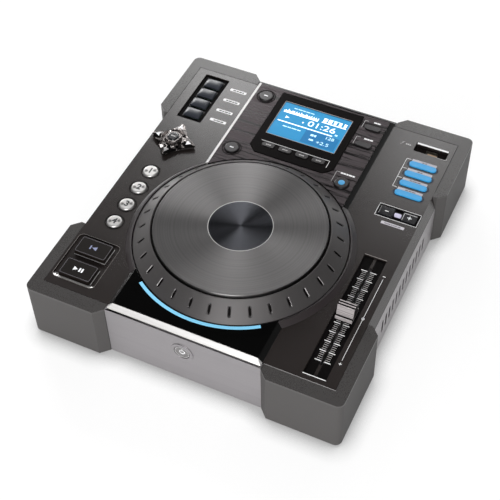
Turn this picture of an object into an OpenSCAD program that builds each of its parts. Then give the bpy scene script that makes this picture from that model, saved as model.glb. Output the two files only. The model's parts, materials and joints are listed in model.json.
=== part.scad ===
// Tabletop DJ media player: a low case with four corner guards, a raised
// centre that carries a display and a large jog platter, a column of keys on
// each side and a long pitch fader. X runs to the right, Y to the rear and Z
// up, from the middle of the footprint at the underside of the feet.

/* [Case] */
// Height from the underside of the case to the top covers
body_h = 68; // [66:0.5:76]
// Wall of the moulded covers and guards
skin = 3; // [2.4:0.1:3.4]
// Thickness of the bent sheet steel
sheet = 2; // [1.2:0.1:2.4]
// Visible joint between neighbouring panels
seam = 0.3; // [0.1:0.05:0.5]
// Width of the covers beside the platter's collar
column_w = 39.1; // [36:0.1:46]
// Front and rear plates behind the faces of the guards
face_inset = 9; // [8.6:0.1:10]
// Side plates behind the faces of the guards
side_inset = 8.5; // [8:0.1:9.5]
// Height of the sloping skirt of the top covers
skirt_h = 15.6; // [13:0.2:18]
// Radius of the rubber feet
foot_r = 13; // [9:0.5:15]
// Height of the rubber feet
foot_h = 4; // [2.5:0.5:8]
// Distance from the outer faces to the middle of a foot
foot_in = 32; // [30:1:40]

/* [Corner guards] */
// Width of a guard along the sides
guard_side_w = 13; // [12.5:0.1:14]
// Width of a guard along the front and rear
guard_end_w = 15.5; // [15:0.1:16]
// Length of the arm along the side
guard_arm = 98; // [80:1:110]
// Corner cut at the end of each arm
guard_chamfer = 8.5; // [5:0.1:9]
// Rounding of the outer upright edge
guard_round = 7; // [4:0.5:9]

/* [Side vents] */
// Vent slots in each side plate
vent_count = 13; // [9:2:19]
// Width of a vent slot
vent_w = 4.4; // [3:0.2:5]
// Height of a vent slot
vent_h = 18; // [10:1:24]
// Distance between vent slots
vent_pitch = 9.8; // [8:0.2:11]

/* [Raised centre] */
// Width of the raised centre beside the display bezel
strip_w = 34; // [32:0.1:40]
// Rise of the centre above the top covers
centre_rise = 5; // [4:0.25:5.5]
// Step between the front plate's face and the foot of the bevel
centre_step = 2; // [1:0.25:3]
// Thickness of the top panels
panel_t = 2; // [1.6:0.1:2.6]
// Width of the bars under the long edges of the panels
bar_w = 7; // [6.5:0.1:7.5]

/* [Platter] */
// Width of the glossy deck in front of the platter
front_deck_w = 15.8; // [12:0.1:24]
// Width of the sloping face of the jog ring
ring_face_w = 18; // [14:0.5:22]
// Height of the sloping face
ring_rise = 16.7; // [14:0.1:19]
// Wall of the ring
ring_wall = 3; // [2.4:0.1:3.6]
// Finger dimples around the ring
dimple_count = 32; // [24:1:36]
// Length of a dimple
dimple_l = 14; // [8:0.5:16]
// Depth of a dimple
dimple_depth = 0.9; // [0.5:0.1:1.2]
// Gap between the ring and the wall of its well
well_gap = 1.2; // [0.6:0.1:1.4]
// Radius of the record disc
disc_r = 88.7; // [76:0.1:95]
// Groove between the disc and the ring
groove_w = 2.1; // [1.2:0.1:3]
// Flat crest of the ring beside the groove
crest_w = 1.2; // [0.8:0.1:1.6]
// Thickness of the record disc
disc_t = 4; // [3.2:0.1:5]
// Depth of the seat of the disc in the ring
disc_sink = 2.3; // [1.5:0.1:3]
// Radius of the centre label
label_r = 32.5; // [25:0.5:45]
// Radius of the spindle
spindle_r = 5; // [4:0.5:7]
// Radius of the encoder disc
encoder_r = 28; // [22:1:34]
// Depth of the platter well below the top covers
well_depth = 14; // [13:0.5:16]
// Width of the collar outside the wall of the well
collar_w = 4.7; // [4:0.1:6]
// Width of the light arc in front of the platter
arc_w = 3.2; // [2:0.1:3.6]
// Half of the angle that the light arc covers
arc_half_angle = 35; // [20:1:38]

/* [Display] */
// Width of the display bezel
bezel_w = 98; // [90:1:110]
// Depth of the display bezel
bezel_d = 98; // [90:0.5:110]
// Distance between the platter well and the bezel
bezel_gap = 5.3; // [4:0.1:9]
// Distance from the top covers' rear edge to the bezel
bezel_in = 5; // [4:0.5:6]
// Corner cut at the front of the bezel
bezel_chamfer = 9; // [6:0.5:11]
// Height of the bezel above the raised centre
bezel_rise = 0.6; // [0.3:0.1:1]
// Width of the display window
window_w = 80.6; // [74:0.2:84]
// Depth of the display window
window_d = 54.2; // [48:0.2:56]
// Distance from the bezel's rear edge to the window
window_in = 12.2; // [8:0.2:14]

/* [Keys] */
// Gap around a key in its hole
key_gap = 0.4; // [0.3:0.05:0.5]
// Gap around a round key in its hole
round_gap = 0.8; // [0.4:0.1:0.9]
// Travel of a key
key_travel = 1; // [0.6:0.1:1.4]
// Overhang of the flange that keeps a key in its hole
flange_lip = 1.2; // [0.8:0.1:1.6]
// Thickness of that flange
flange_t = 1.2; // [0.8:0.1:1.6]
// Gap between a flange and the panel above it
flange_gap = 0.3; // [0.2:0.05:0.4]
// Height of a key above its panel
key_rise = 1.6; // [1:0.1:2.4]
// Radius of the round keys
round_key_r = 8; // [6.5:0.25:8.5]

/* [Left column] */
// Margin between the cue and play recess and the outer edge of the cover
cue_border = 2.8; // [2:0.1:4]
// Distance from the rear edge of the cover to the pads' recess
pads_border = 7.55; // [5:0.05:10]
// Distance between pads
pad_pitch = 17.2; // [16:0.1:18]
// Width of a pad
pad_w = 19.5; // [16:0.5:22]
// Depth of a pad
pad_d = 13.5; // [11:0.5:14]
// Margin of the recess around the pads
pad_margin = 5.2; // [4:0.1:6]
// Depth of the recesses in the covers
recess_depth = 1.8; // [1:0.1:2.2]
// Space between the pads' recess and the navigation pad
nav_space = 13.35; // [9:0.05:16]
// Distance of the navigation pad from the middle of its column
nav_out = 2; // [0:0.2:4]
// Reach of the navigation pad's left and right points
nav_r = 25.6; // [22:0.2:27]
// Reach of its front and rear points
nav_end_r = 24.2; // [20:0.2:27]
// Gap between its arms
nav_slot_w = 3.4; // [2:0.2:4.4]
// Radius of the hollows between the points
nav_valley_r = 16; // [13:0.5:18]
// Radius of the navigation pad's centre button
nav_button_r = 6.3; // [5:0.1:7]
// Space between the navigation pad and the numbered keys
number_space = 16.1; // [12:0.1:19]
// Space between the numbered keys and the cue and play recess
number_front = 19.5; // [16:0.1:23]
// Distance from the front edge of the cover to the cue and play recess
cue_front = 9.8; // [8:0.1:12]
// Distance between the cue and play buttons
cue_pitch = 30.4; // [28:0.2:32]
// Width of the cue and play buttons
cue_w = 35.5; // [32:0.5:37]
// Depth of the cue and play buttons
cue_d = 21; // [18:0.5:22]
// Margin of the recess around those buttons
cue_margin = 4; // [3:0.2:4.4]
// Height of those buttons above the cover
cue_rise = 2.8; // [1:0.2:3.6]
// Length of the slope at the front of that recess
cue_slope = 5.4; // [1:0.2:6]

/* [Right column] */
// Margin between the pitch bend recess and the outer edge of the cover
bend_border = 1.5; // [1.2:0.1:3]
// Distance from the rear edge of the cover to the memory stick recess
usb_border = 12.6; // [10:0.1:15]
// Width of that recess
usb_recess_w = 37; // [30:0.5:38]
// Depth of that recess from front to rear
usb_recess_d = 14; // [12:0.5:15]
// Depth of its floor below the cover
usb_sink = 8; // [6:0.5:10]
// Distance from the memory stick recess to the middle of the first oval key
oval_in = 19.95; // [18:0.05:23]
// Distance between oval keys
oval_pitch = 14.9; // [13.5:0.1:15.2]
// Length of an oval key
oval_l = 30; // [24:0.5:31]
// Width of an oval key
oval_w = 7; // [5.5:0.1:7.5]
// Distance from the last oval key to the middle of the pitch bend keys
bend_in = 29.95; // [26:0.05:34]
// Distance from the column to each pitch bend key
bend_out = 12.4; // [11.6:0.1:13]
// Width of a pitch bend key
bend_w = 15.5; // [13:0.5:16]
// Depth of a pitch bend key
bend_d = 12; // [10:0.5:13]
// Margin of the recess around the pitch bend keys
bend_margin = 2.4; // [2:0.1:2.5]
// Distance from the front edge of the cover to the fader's recess
fader_front = 6.55; // [5:0.05:9]
// Length of the fader's recess
fader_l = 156.5; // [150:0.5:158]
// Width of the fader's recess
fader_w = 23.7; // [21:0.1:24]
// Travel of the fader to each side
fader_reach = 58; // [50:1:60]
// Middle of the travel behind the middle of the recess
fader_shift = 1.2; // [0:0.2:2]
// Width of the fader knob
knob_w = 17.7; // [14:0.1:18]
// Length of its foot
knob_l = 18; // [15:0.5:20]
// Length of its ridged top
knob_top_l = 7.2; // [6:0.2:8]
// Height of its top above the cover
knob_rise = 14.4; // [12:0.2:16]
// Height of its foot above the cover
knob_foot = 3; // [2:0.2:4]

/* [Centre keys] */
// Distance from these keys to the edge of the brushed panel
key_border = 13.8; // [13:0.1:15]
// Distance from the cover's rear edge to the rear keys
rear_key_in = 19.1; // [18:0.1:21]
// Distance from the cover's rear edge to the rear long key
long_key_in = 18.7; // [18:0.1:21]
// Distance between the two long keys
long_pitch = 27.5; // [24:0.5:30]
// Distance between the platter well and the front round keys
front_key_gap = 9.2; // [7:0.1:12]
// Length of the long keys
long_l = 18; // [14:0.5:20]
// Width of the long keys
long_w = 7; // [5:0.2:8]
// Distance from the bezel's front edge to the soft keys
soft_in = 14.2; // [13.5:0.1:16]
// Distance from the bezel's side to the first soft key
soft_border = 19.6; // [18:0.2:21]
// Length of a soft key
soft_l = 14; // [11:0.5:15]
// Width of a soft key
soft_w = 6.4; // [5:0.1:7]

/* [Power button] */
// Height of the power button above the underside of the case
power_up = 45; // [40:0.5:48]
// Radius of the power button
power_r = 8.2; // [7:0.1:9]
// Width of the raised ring around it
power_ring_w = 3.4; // [2:0.1:4]
// Travel of the power button
power_travel = 1.5; // [1:0.1:2]

/* [Rear sockets] */
// Height of the sockets above the underside of the case
socket_up = 30; // [26:1:40]
// Distance between the audio sockets
socket_pitch = 16; // [14:0.5:18]
// Distance from the middle to the first audio socket
socket_x = 14; // [12:0.5:18]
// Distance from the middle to the remote start jack
jack_out = 38; // [36:0.5:40]
// Distance from the middle to the computer socket
data_out = 56; // [54:0.5:60]
// Distance from the middle to the mains inlet
inlet_x = 54; // [48:1:58]

/* [Hidden] */
$fn = 16;
wide_fn = 48;
nudge = 1;
running_fit = 0.05;

top_z = foot_h + body_h;
deck_z = top_z + centre_rise;
under_z = top_z - skin;
panel_under_z = deck_z - panel_t;
skirt_z = top_z - skirt_h;
floor_z = foot_h + sheet;

ring_in_r = disc_r + groove_w + crest_w;
ring_r = ring_in_r + ring_face_w;
well_r = ring_r + well_gap;
well_wall = 2;
well_out_r = well_r + well_wall;
collar_r = well_out_r + collar_w;
centre_w = bezel_w + 2 * strip_w;

cover_x = collar_r + column_w;
body_w = 2 * (cover_x + guard_side_w);
platter_in = face_inset + centre_step + centre_rise + front_deck_w + well_r;
body_d = platter_in + well_r + bezel_gap + bezel_d + bezel_in + guard_end_w;
cover_y = body_d / 2 - guard_end_w;
face_y = body_d / 2 - face_inset;
side_x = body_w / 2 - side_inset;
pan_x = side_x - skin;
pan_y = face_y - skin;
guard_end_x = centre_w / 2 + 1.2;
guard_end_y = body_d / 2 - guard_arm;

centre_y = face_y - centre_step;
bevel_top_y = centre_y - centre_rise;
plate_x = centre_w / 2 - centre_rise;
bar_x = centre_w / 2 - bar_w;
ledge_x = bar_x - 2;

platter_y = platter_in - body_d / 2;
well_floor_z = top_z - well_depth;
ring_foot_z = deck_z - seam;
ring_top_z = ring_foot_z + ring_rise;
disc_seat_z = ring_top_z - disc_sink;
hub_top_z = disc_seat_z - ring_wall;
disc_top_z = disc_seat_z + disc_t;
ring_slope = atan(ring_rise / (ring_r - ring_in_r));
encoder_z = well_floor_z - 8.5;
bearing_top_z = encoder_z - 2.5;

pads_recess = [pad_w + 2 * pad_margin, 3 * pad_pitch + pad_d + 2 * pad_margin];
cue_recess = [cue_w + 2 * cue_margin + 4, cue_pitch + cue_d + 2 * cue_margin];
bend_recess = [2 * bend_out + bend_w + 2 * bend_margin, bend_d + 2 * bend_margin];
left_x = cue_border + cue_recess[0] / 2 - cover_x;
right_x = cover_x - bend_border - bend_recess[0] / 2;
centre_key_x = plate_x - key_border;

pads_y = cover_y - pads_border - pads_recess[1] / 2;
nav_x = left_x + nav_out;
nav_y = pads_y - pads_recess[1] / 2 - nav_space - nav_r;
cue_y = cue_front + cue_recess[1] / 2 - cover_y;
number_rear_y = nav_y - nav_r - number_space - round_key_r;
number_front_y = cue_y + cue_recess[1] / 2 + number_front + round_key_r;
usb_y = cover_y - usb_border - usb_recess_d / 2;
oval_y = usb_y - usb_recess_d / 2 - oval_in;
bend_y = oval_y - 3 * oval_pitch - bend_in;
fader_y = fader_front + fader_l / 2 - cover_y;
knob_y = fader_y + fader_shift;
rear_key_y = cover_y - rear_key_in;
long_key_y = cover_y - long_key_in;
front_key_y = platter_y + sqrt(pow(well_r + front_key_gap + round_key_r, 2) - pow(centre_key_x, 2));
bezel_back_y = cover_y - bezel_in;
bezel_y = bezel_back_y - bezel_d / 2;
window_y = bezel_back_y - window_in - window_d / 2;
soft_y = bezel_back_y - bezel_d + soft_in;
soft_pitch = (bezel_w - 2 * soft_border) / 3;

recess_z = top_z - recess_depth;
recess_under_z = recess_z - skin;
pocket_z = top_z - usb_sink;
pocket_wall = 1.6;
usb_shell = [13.2, 5.8];
usb_mouth_y = usb_y + usb_recess_d / 2 - usb_shell[1] / 2 - 1.4;

board_t = 1.6;
key_board_z = recess_under_z - 8;
centre_board_z = panel_under_z - 9.4;
post_r = 2.4;
switch_w = 6;

nav_pivot_z = top_z - 8;
nav_under_z = top_z + 2.2;
nav_tip_z = top_z + 5;
nav_arm_z = top_z + 7.6;
nav_hub_z = top_z + 9;
nav_slot_z = top_z + 4;
nav_collar_r = nav_button_r + 2.4;
nav_groove_r = nav_collar_r + 3.4;
nav_stem_r = 5;
gimbal_in_r = 6.6;
gimbal_r = 9.8;
gimbal_h = 5;
pin_r = 1.5;
ear_gap = 0.4;
ear_w = 4;

power_z = foot_h + power_up;
power_ring_rise = 0.8;
socket_z = foot_h + socket_up;
audio_r = 4.15;
audio_xs = [for (i = [0:2]) socket_x - i * socket_pitch];
jack_x = -jack_out;
jack_r = 3.4;
data_x = -data_out;
data_shell = [8.8, 8];
inlet_body = [27.4, 20.4];
inlet_pin = [2, 4];
inlet_pin_pitch = 7;

main_board = [220, 118];
standoff_h = 6;
standoff_r = 4;
main_board_z = floor_z + standoff_h;
socket_room = 24;
main_board_y = pan_y - main_board[1] / 2 - socket_room;
supply = [46, 62, 24];
supply_pos = [68, -10];
processor = [26, 26, 3];
processor_pos = [-30, 6];
memory = [18, 32, 2];
memory_pos = [-72, -16];
capacitor = [4, 12];
window_h = 28;
socket_body = [12, 12, 13];
data_body_l = 14;
inlet_body_l = 18;

bearing_r = spindle_r + 25;
bearing_foot_h = 4;
sensor = [9, 12];
fader_case = [12, 9];
usb_l = 13;

pad_ys = [for (i = [0:3]) pads_y + (1.5 - i) * pad_pitch];
number_ys = [for (i = [0:3]) number_rear_y - i * (number_rear_y - number_front_y) / 3];
oval_ys = [for (i = [0:3]) oval_y - i * oval_pitch];
soft_xs = [for (i = [0:3]) (i - 1.5) * soft_pitch];
cue_ys = [cue_y + cue_pitch / 2, cue_y - cue_pitch / 2];

shell_black = [0.16, 0.16, 0.17];
guard_grey = [0.36, 0.36, 0.38];
silver = [0.68, 0.67, 0.69];
gloss_black = [0.02, 0.02, 0.025];
key_blue = [0.25, 0.62, 0.9];
steel = [0.5, 0.5, 0.52];
board_green = [0.08, 0.3, 0.18];

// ---- shared shapes ----

module round_rect(size, r) {
    square([size[0] - 2 * r, size[1]], center = true);
    square([size[0], size[1] - 2 * r], center = true);
    for (x = [-1, 1], y = [-1, 1])
        translate([x * (size[0] / 2 - r), y * (size[1] / 2 - r)]) circle(r);
}

module round_block(x, y, z0, z1, size, r) {
    translate([x, y, z0]) linear_extrude(z1 - z0) round_rect(size, r);
}

module centred_block(x, y, z0, z1, size) {
    translate([x - size[0] / 2, y - size[1] / 2, z0]) cube([size[0], size[1], z1 - z0]);
}

module mirrored_y() {
    children();
    mirror([0, 1, 0]) children();
}

module mirrored_x() {
    children();
    mirror([1, 0, 0]) children();
}

// ---- sheet steel case ----

module base_pan() {
    wall_h = skirt_z - foot_h;
    wire_hole_r = power_r + 2 * key_gap;
    color(steel) {
        difference() {
            translate([-pan_x, -pan_y, foot_h]) cube([2 * pan_x, 2 * pan_y, wall_h]);
            translate([sheet - pan_x, sheet - pan_y, floor_z])
                cube([2 * (pan_x - sheet), 2 * (pan_y - sheet), wall_h]);
            translate([-body_w / 2, -vent_span() / 2, vent_z() - vent_h / 2 - 2])
                cube([body_w, vent_span(), vent_h + 4]);
            translate([0, sheet - pan_y + nudge, power_z]) rotate([90, 0, 0])
                cylinder(r = wire_hole_r, h = sheet + 2 * nudge);
            translate([-socket_window_x(), pan_y - sheet - nudge, socket_z - window_h / 2])
                cube([2 * socket_window_x(), sheet + 2 * nudge, window_h]);
        }
        for (x = [-1, 1], y = [-1, 1])
            translate([x * (main_board[0] / 2 - 6), main_board_y + y * (main_board[1] / 2 - 6), floor_z])
                cylinder(r = standoff_r, h = standoff_h);
    }
}

function vent_span() = (vent_count - 1) * vent_pitch + vent_w + 4;
function vent_z() = (skirt_z + foot_h) / 2 + 2;
function socket_window_x() = inlet_x + inlet_body[0] / 2 + 3;

module side_plate() {
    difference() {
        translate([pan_x, seam - guard_end_y, floor_z])
            cube([skin, 2 * (guard_end_y - seam), skirt_z - seam - floor_z]);
        for (i = [0:vent_count - 1])
            translate([pan_x - nudge, (i - (vent_count - 1) / 2) * vent_pitch - vent_w / 2, vent_z() - vent_h / 2])
                cube([skin + 2 * nudge, vent_w, vent_h]);
    }
}

module side_plate_left() {
    color(silver) mirror([1, 0, 0]) side_plate();
}

module side_plate_right() {
    color(silver) side_plate();
}

module end_plate() {
    half_w = guard_end_x - seam;
    translate([-half_w, pan_y, foot_h + seam]) cube([2 * half_w, skin, body_h - 2 * seam]);
    translate([-half_w, cover_y + seam, under_z]) cube([2 * half_w, pan_y - cover_y, skin - seam]);
}

module front_plate() {
    color(silver) difference() {
        union() {
            mirror([0, 1, 0]) end_plate();
            translate([0, -face_y + nudge, power_z]) rotate([90, 0, 0])
                cylinder(r = power_r + key_gap + power_ring_w, h = power_ring_rise + nudge);
            translate([-bar_x, -bevel_top_y - 3, top_z - seam - nudge])
                cube([2 * bar_x, 2, seam + nudge]);
        }
        translate([0, nudge - pan_y, power_z]) rotate([90, 0, 0])
            cylinder(r = power_r + key_gap, h = skin + power_ring_rise + 3 * nudge);
    }
}

module rear_panel() {
    color(shell_black) difference() {
        union() {
            end_plate();
            translate([-bar_x, bevel_top_y + 1, top_z - seam - nudge]) cube([2 * bar_x, 2, seam + nudge]);
        }
        for (x = audio_xs) translate([x, face_y + nudge, socket_z]) rotate([90, 0, 0])
            cylinder(r = audio_r + key_gap, h = skin + 2 * nudge);
        translate([jack_x, face_y + nudge, socket_z]) rotate([90, 0, 0])
            cylinder(r = jack_r + key_gap, h = skin + 2 * nudge);
        wall_hole(data_x, data_shell + [2 * key_gap, 2 * key_gap]);
        wall_hole(inlet_x, inlet_body + [2 * key_gap, 2 * key_gap]);
    }
}

// A rectangular hole through the rear panel at the height of the sockets.
module wall_hole(x, size) {
    translate([x - size[0] / 2, pan_y - nudge, socket_z - size[1] / 2])
        cube([size[0], skin + 2 * nudge, size[1]]);
}

// ---- moulded corner guards ----

module guard_plan(inset) {
    x_out = body_w / 2 - inset;
    y_out = body_d / 2 - inset;
    x_end = guard_end_x + inset;
    y_end = guard_end_y + inset;
    cut = guard_chamfer - inset * (2 - sqrt(2));
    r = guard_round - inset;
    polygon([
        [cover_x, y_end], [x_out - cut, y_end], [x_out, y_end + cut],
        [x_out, y_out - r], [x_out - r, y_out],
        [x_end + cut, y_out], [x_end, y_out - cut], [x_end, cover_y], [cover_x, cover_y]]);
    translate([x_out - r, y_out - r]) circle(r, $fn = 32);
}

module guard() {
    rib_t = 2.4;
    rib_y = guard_end_y + guard_arm / 2;
    rib_x = (guard_end_x + body_w / 2) / 2;
    difference() {
        translate([0, 0, foot_h]) linear_extrude(body_h) guard_plan(0);
        translate([0, 0, floor_z + 1]) linear_extrude(under_z - floor_z - 1) guard_plan(skin);
        translate([0, 0, foot_h - nudge]) linear_extrude(skirt_z - foot_h + nudge + seam)
            square([pan_x + seam, pan_y + seam]);
    }
    rib_h = under_z - foot_h + skin / 2;
    translate([pan_x, rib_y, foot_h]) cube([body_w / 2 - skin / 2 - pan_x, rib_t, rib_h]);
    translate([rib_x, pan_y, foot_h]) cube([rib_t, body_d / 2 - skin / 2 - pan_y, rib_h]);
}

module guard_front_left() {
    color(guard_grey) mirror([1, 0, 0]) mirror([0, 1, 0]) guard();
}

module guard_front_right() {
    color(guard_grey) mirror([0, 1, 0]) guard();
}

module guard_rear_left() {
    color(guard_grey) mirror([1, 0, 0]) guard();
}

module guard_rear_right() {
    color(guard_grey) guard();
}

module feet() {
    color([0.05, 0.05, 0.05])
        for (x = [-1, 1], y = [-1, 1])
            translate([x * (body_w / 2 - foot_in), y * (body_d / 2 - foot_in), 0])
                rotate_extrude($fn = 24) polygon([
                    [0, 0], [foot_r - 1, 0], [foot_r, 1], [foot_r, foot_h], [0, foot_h]]);
}

// ---- top covers ----

// The blank of the right cover, with its sloping skirt between the guards.
module cover_blank() {
    edge_x = cover_x - seam;
    difference() {
        union() {
            translate([ledge_x, seam - cover_y, under_z])
                cube([edge_x - ledge_x, 2 * (cover_y - seam), skin]);
            rotate([90, 0, 0]) translate([0, 0, seam - guard_end_y])
                linear_extrude(2 * (guard_end_y - seam)) polygon([
                    [edge_x - skin, under_z], [edge_x - skin, top_z - skin / 2], [edge_x, top_z],
                    [side_x, skirt_z], [pan_x, skirt_z]]);
        }
        translate([0, platter_y, under_z - nudge]) 
            cylinder(r = well_out_r + seam, h = skin + 2 * nudge, $fn = wide_fn);
    }
}

module board_post(x, y, z0, z1) {
    centred_block(x, y, z0, z1, [2 * post_r, 2 * post_r]);
}

module key_hole(x, y, size, r) {
    hole = [size[0] + 2 * key_gap, size[1] + 2 * key_gap];
    round_block(x, y, key_board_z, top_z + nudge, hole, r + key_gap);
}

module round_hole(x, y) {
    translate([x, y, key_board_z]) cylinder(r = round_key_r + round_gap, h = deck_z - key_board_z);
}

module recess_pad(x, y, size) {
    round_block(x, y, recess_under_z, under_z + nudge / 2, [size[0] + 2 * skin, size[1] + 2 * skin], 4);
}

module recess_cut(x, y, size, r) {
    round_block(x, y, recess_z, top_z + nudge, size, r);
}

// The recess of the cue and play buttons, whose floor slopes up to its front edge.
module cue_cut() {
    half_d = cue_recess[1] / 2;
    intersection() {
        recess_cut(left_x, cue_y, cue_recess, 5);
        translate([left_x - cue_recess[0], cue_y, 0]) rotate([90, 0, 90])
            linear_extrude(2 * cue_recess[0]) polygon([
                [half_d + nudge, recess_z], [half_d + nudge, top_z + 2 * nudge],
                [-half_d - nudge, top_z + 2 * nudge], [-half_d - nudge, top_z], [-half_d, top_z],
                [cue_slope - half_d, recess_z]]);
    }
}

module gimbal_ears() {
    ear_x = gimbal_r + ear_gap;
    for (s = [-1, 1])
        translate([nav_x + s * (ear_x + ear_w / 2), nav_y, 0]) difference() {
            centred_block(0, 0, nav_pivot_z - 4, under_z + nudge / 2, [ear_w, 8]);
            translate([-ear_w, 0, nav_pivot_z]) rotate([0, 90, 0])
                cylinder(r = pin_r + running_fit, h = 2 * ear_w);
        }
}

module cover_left() {
    color(shell_black) {
        difference() {
            union() {
                mirror([1, 0, 0]) cover_blank();
                recess_pad(left_x, pads_y, pads_recess);
                recess_pad(left_x, cue_y, cue_recess);
            }
            recess_cut(left_x, pads_y, pads_recess, 1.5);
            cue_cut();
            for (y = pad_ys) key_hole(left_x, y, [pad_w, pad_d], 1);
            for (y = number_ys) round_hole(left_x, y);
            for (y = cue_ys) key_hole(left_x, y, [cue_w, cue_d], 2);
            translate([nav_x, nav_y, under_z - nudge]) cylinder(r = nav_stem_r + 3, h = skin + 2 * nudge);
        }
        gimbal_ears();
        for (y = left_post_ys()) board_post(left_x - post_x(), y, key_board_z, under_z + nudge / 2);
    }
}

function post_x() = 16;
function left_post_ys() = [nav_y + 22, nav_y - 24, (number_ys[1] + number_ys[2]) / 2, number_front_y - 10];

module cover_right() {
    pocket = [usb_recess_w + 2 * pocket_wall, usb_recess_d + 2 * pocket_wall];
    fader_slit = [2.6, 2 * fader_reach + 12];
    color(shell_black) difference() {
        union() {
            cover_blank();
            recess_pad(right_x, bend_y, [bend_recess[0] - 2 * skin, bend_recess[1]]);
            recess_pad(right_x, fader_y, [fader_w - 2, fader_l - 2]);
            centred_block(right_x, usb_y, pocket_z - pocket_wall, under_z + nudge / 2, pocket);
            for (y = right_post_ys(), x = [-1, 1])
                board_post(right_x + x * post_x(), y, key_board_z, under_z + nudge / 2);
        }
        recess_cut(right_x, bend_y, bend_recess, 1.5);
        recess_cut(right_x, fader_y, [fader_w, fader_l], 1);
        centred_block(right_x, knob_y, recess_under_z - nudge, top_z, fader_slit);
        round_block(right_x, usb_y, pocket_z, top_z + nudge, [usb_recess_w, usb_recess_d], 1.5);
        centred_block(right_x, usb_mouth_y, pocket_z - pocket_wall - nudge, top_z, usb_hole());
        for (y = oval_ys) key_hole(right_x, y, [oval_l, oval_w], oval_w / 2 - 0.01);
        for (s = [-1, 1]) key_hole(right_x + s * bend_out, bend_y, [bend_w, bend_d], 1);
    }
}

function usb_hole() = [usb_shell[0] + 2 * key_gap, usb_shell[1] + 2 * key_gap];
function right_post_ys() = [oval_y + 8.5, (bend_y + oval_ys[3]) / 2 + 3];

// ---- raised centre ----

function bevel_profile(half) =
    [[-half, 0], [half, 0], [half - centre_rise, centre_rise], [centre_rise - half, centre_rise]];

// A rectangle with every edge bevelled at 45 degrees; spread widens it all round.
module centre_form(spread) {
    translate([0, 0, top_z]) intersection() {
        rotate([90, 0, 0]) translate([0, 0, -body_d / 2])
            linear_extrude(body_d) polygon(bevel_profile(centre_w / 2 + spread));
        rotate([90, 0, 90]) translate([0, 0, -body_w / 2])
            linear_extrude(body_w) polygon(bevel_profile(centre_y + spread));
    }
}

module well_cut() {
    translate([0, platter_y, top_z - nudge]) 
        cylinder(r = well_r, h = centre_rise + 2 * nudge, $fn = wide_fn);
}

module rear_half() {
    translate([-body_w / 2, platter_y, top_z - nudge]) cube([body_w, body_d, centre_rise + 2 * nudge]);
}

module bezel_plan(spread) {
    half = bezel_w / 2 + spread;
    back = bezel_back_y + spread;
    front = bezel_back_y - bezel_d - spread;
    cut = bezel_chamfer + spread * (2 - sqrt(2));
    polygon([
        [-half, back], [half, back], [half, front + cut], [half - cut, front],
        [cut - half, front], [-half, front + cut]]);
}

module centre_panel() {
    color([0.2, 0.19, 0.19]) {
        difference() {
            intersection() {
                centre_form(0);
                rear_half();
                union() {
                    translate([seam / 2 - plate_x, -body_d / 2, panel_under_z])
                        cube([2 * plate_x - seam, body_d, centre_rise]);
                    translate([-bar_x, bevel_top_y - 2, top_z]) cube([2 * bar_x, body_d, centre_rise]);
                }
            }
            well_cut();
            translate([0, 0, top_z]) linear_extrude(centre_rise + nudge) bezel_plan(seam);
            for (y = [rear_key_y, front_key_y]) round_hole(-centre_key_x, y);
            round_hole(centre_key_x, front_key_y);
            for (i = [0, 1])
                key_hole_up(centre_key_x, long_key_y - i * long_pitch, [long_l, long_w], long_w / 2 - 0.01);
        }
        for (x = [-1, 1], y = [long_key_y - long_pitch / 2, front_key_y + 20])
            board_post(x * (centre_key_x + 5), y, centre_board_z, panel_under_z + nudge / 2);
    }
}

module key_hole_up(x, y, size, r) {
    round_block(x, y, top_z, deck_z + nudge, [size[0] + 2 * key_gap, size[1] + 2 * key_gap], r + key_gap);
}

// The bevelled bar along one rear edge of the raised centre.
module rear_bar() {
    difference() {
        intersection() {
            centre_form(0);
            rear_half();
            translate([bar_x, -body_d / 2, top_z - nudge]) cube([body_w, body_d, centre_rise + 2 * nudge]);
        }
        translate([0, -body_d / 2, panel_under_z]) cube([plate_x, body_d, centre_rise]);
        well_cut();
    }
}

module dark_trim() {
    color(gloss_black) rear_bar();
}

module bright_trims() {
    color([0.88, 0.88, 0.89]) {
        mirror([1, 0, 0]) rear_bar();
        intersection() {
            centre_form(0);
            translate([-body_w / 2, -body_d, top_z - nudge])
                cube([body_w, body_d - bevel_top_y, centre_rise + 2 * nudge]);
        }
    }
}

module front_deck() {
    groove_r = well_r + 0.9;
    color(gloss_black) difference() {
        centre_form(0);
        translate([-body_w / 2, platter_y, top_z - nudge]) cube([body_w, body_d, centre_rise + 2 * nudge]);
        translate([-body_w / 2, -body_d, top_z - nudge])
            cube([body_w, body_d - bevel_top_y + seam, centre_rise + 2 * nudge]);
        translate([-bar_x, -body_d / 2, top_z - nudge])
            cube([2 * bar_x, body_d, centre_rise - panel_t + nudge]);
        well_cut();
        arc_band(groove_r - 0.1, groove_r + arc_w + 0.1,
            deck_z - panel_t + 0.5, deck_z + nudge, arc_half_angle + 0.1);
    }
}

module arc_band(r0, r1, z0, z1, half_angle) {
    reach = 2 * r1;
    translate([0, platter_y, z0]) linear_extrude(z1 - z0) intersection() {
        difference() {
            circle(r1, $fn = wide_fn);
            circle(r0, $fn = wide_fn);
        }
        polygon([[0, 0], [-reach * sin(half_angle), -reach * cos(half_angle)],
            [reach * sin(half_angle), -reach * cos(half_angle)]]);
    }
}

module light_arc() {
    r = well_r + 0.9;
    color([0.55, 0.8, 0.88]) arc_band(r, r + arc_w, deck_z - panel_t + 0.5, deck_z + 0.3, arc_half_angle);
}

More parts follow.
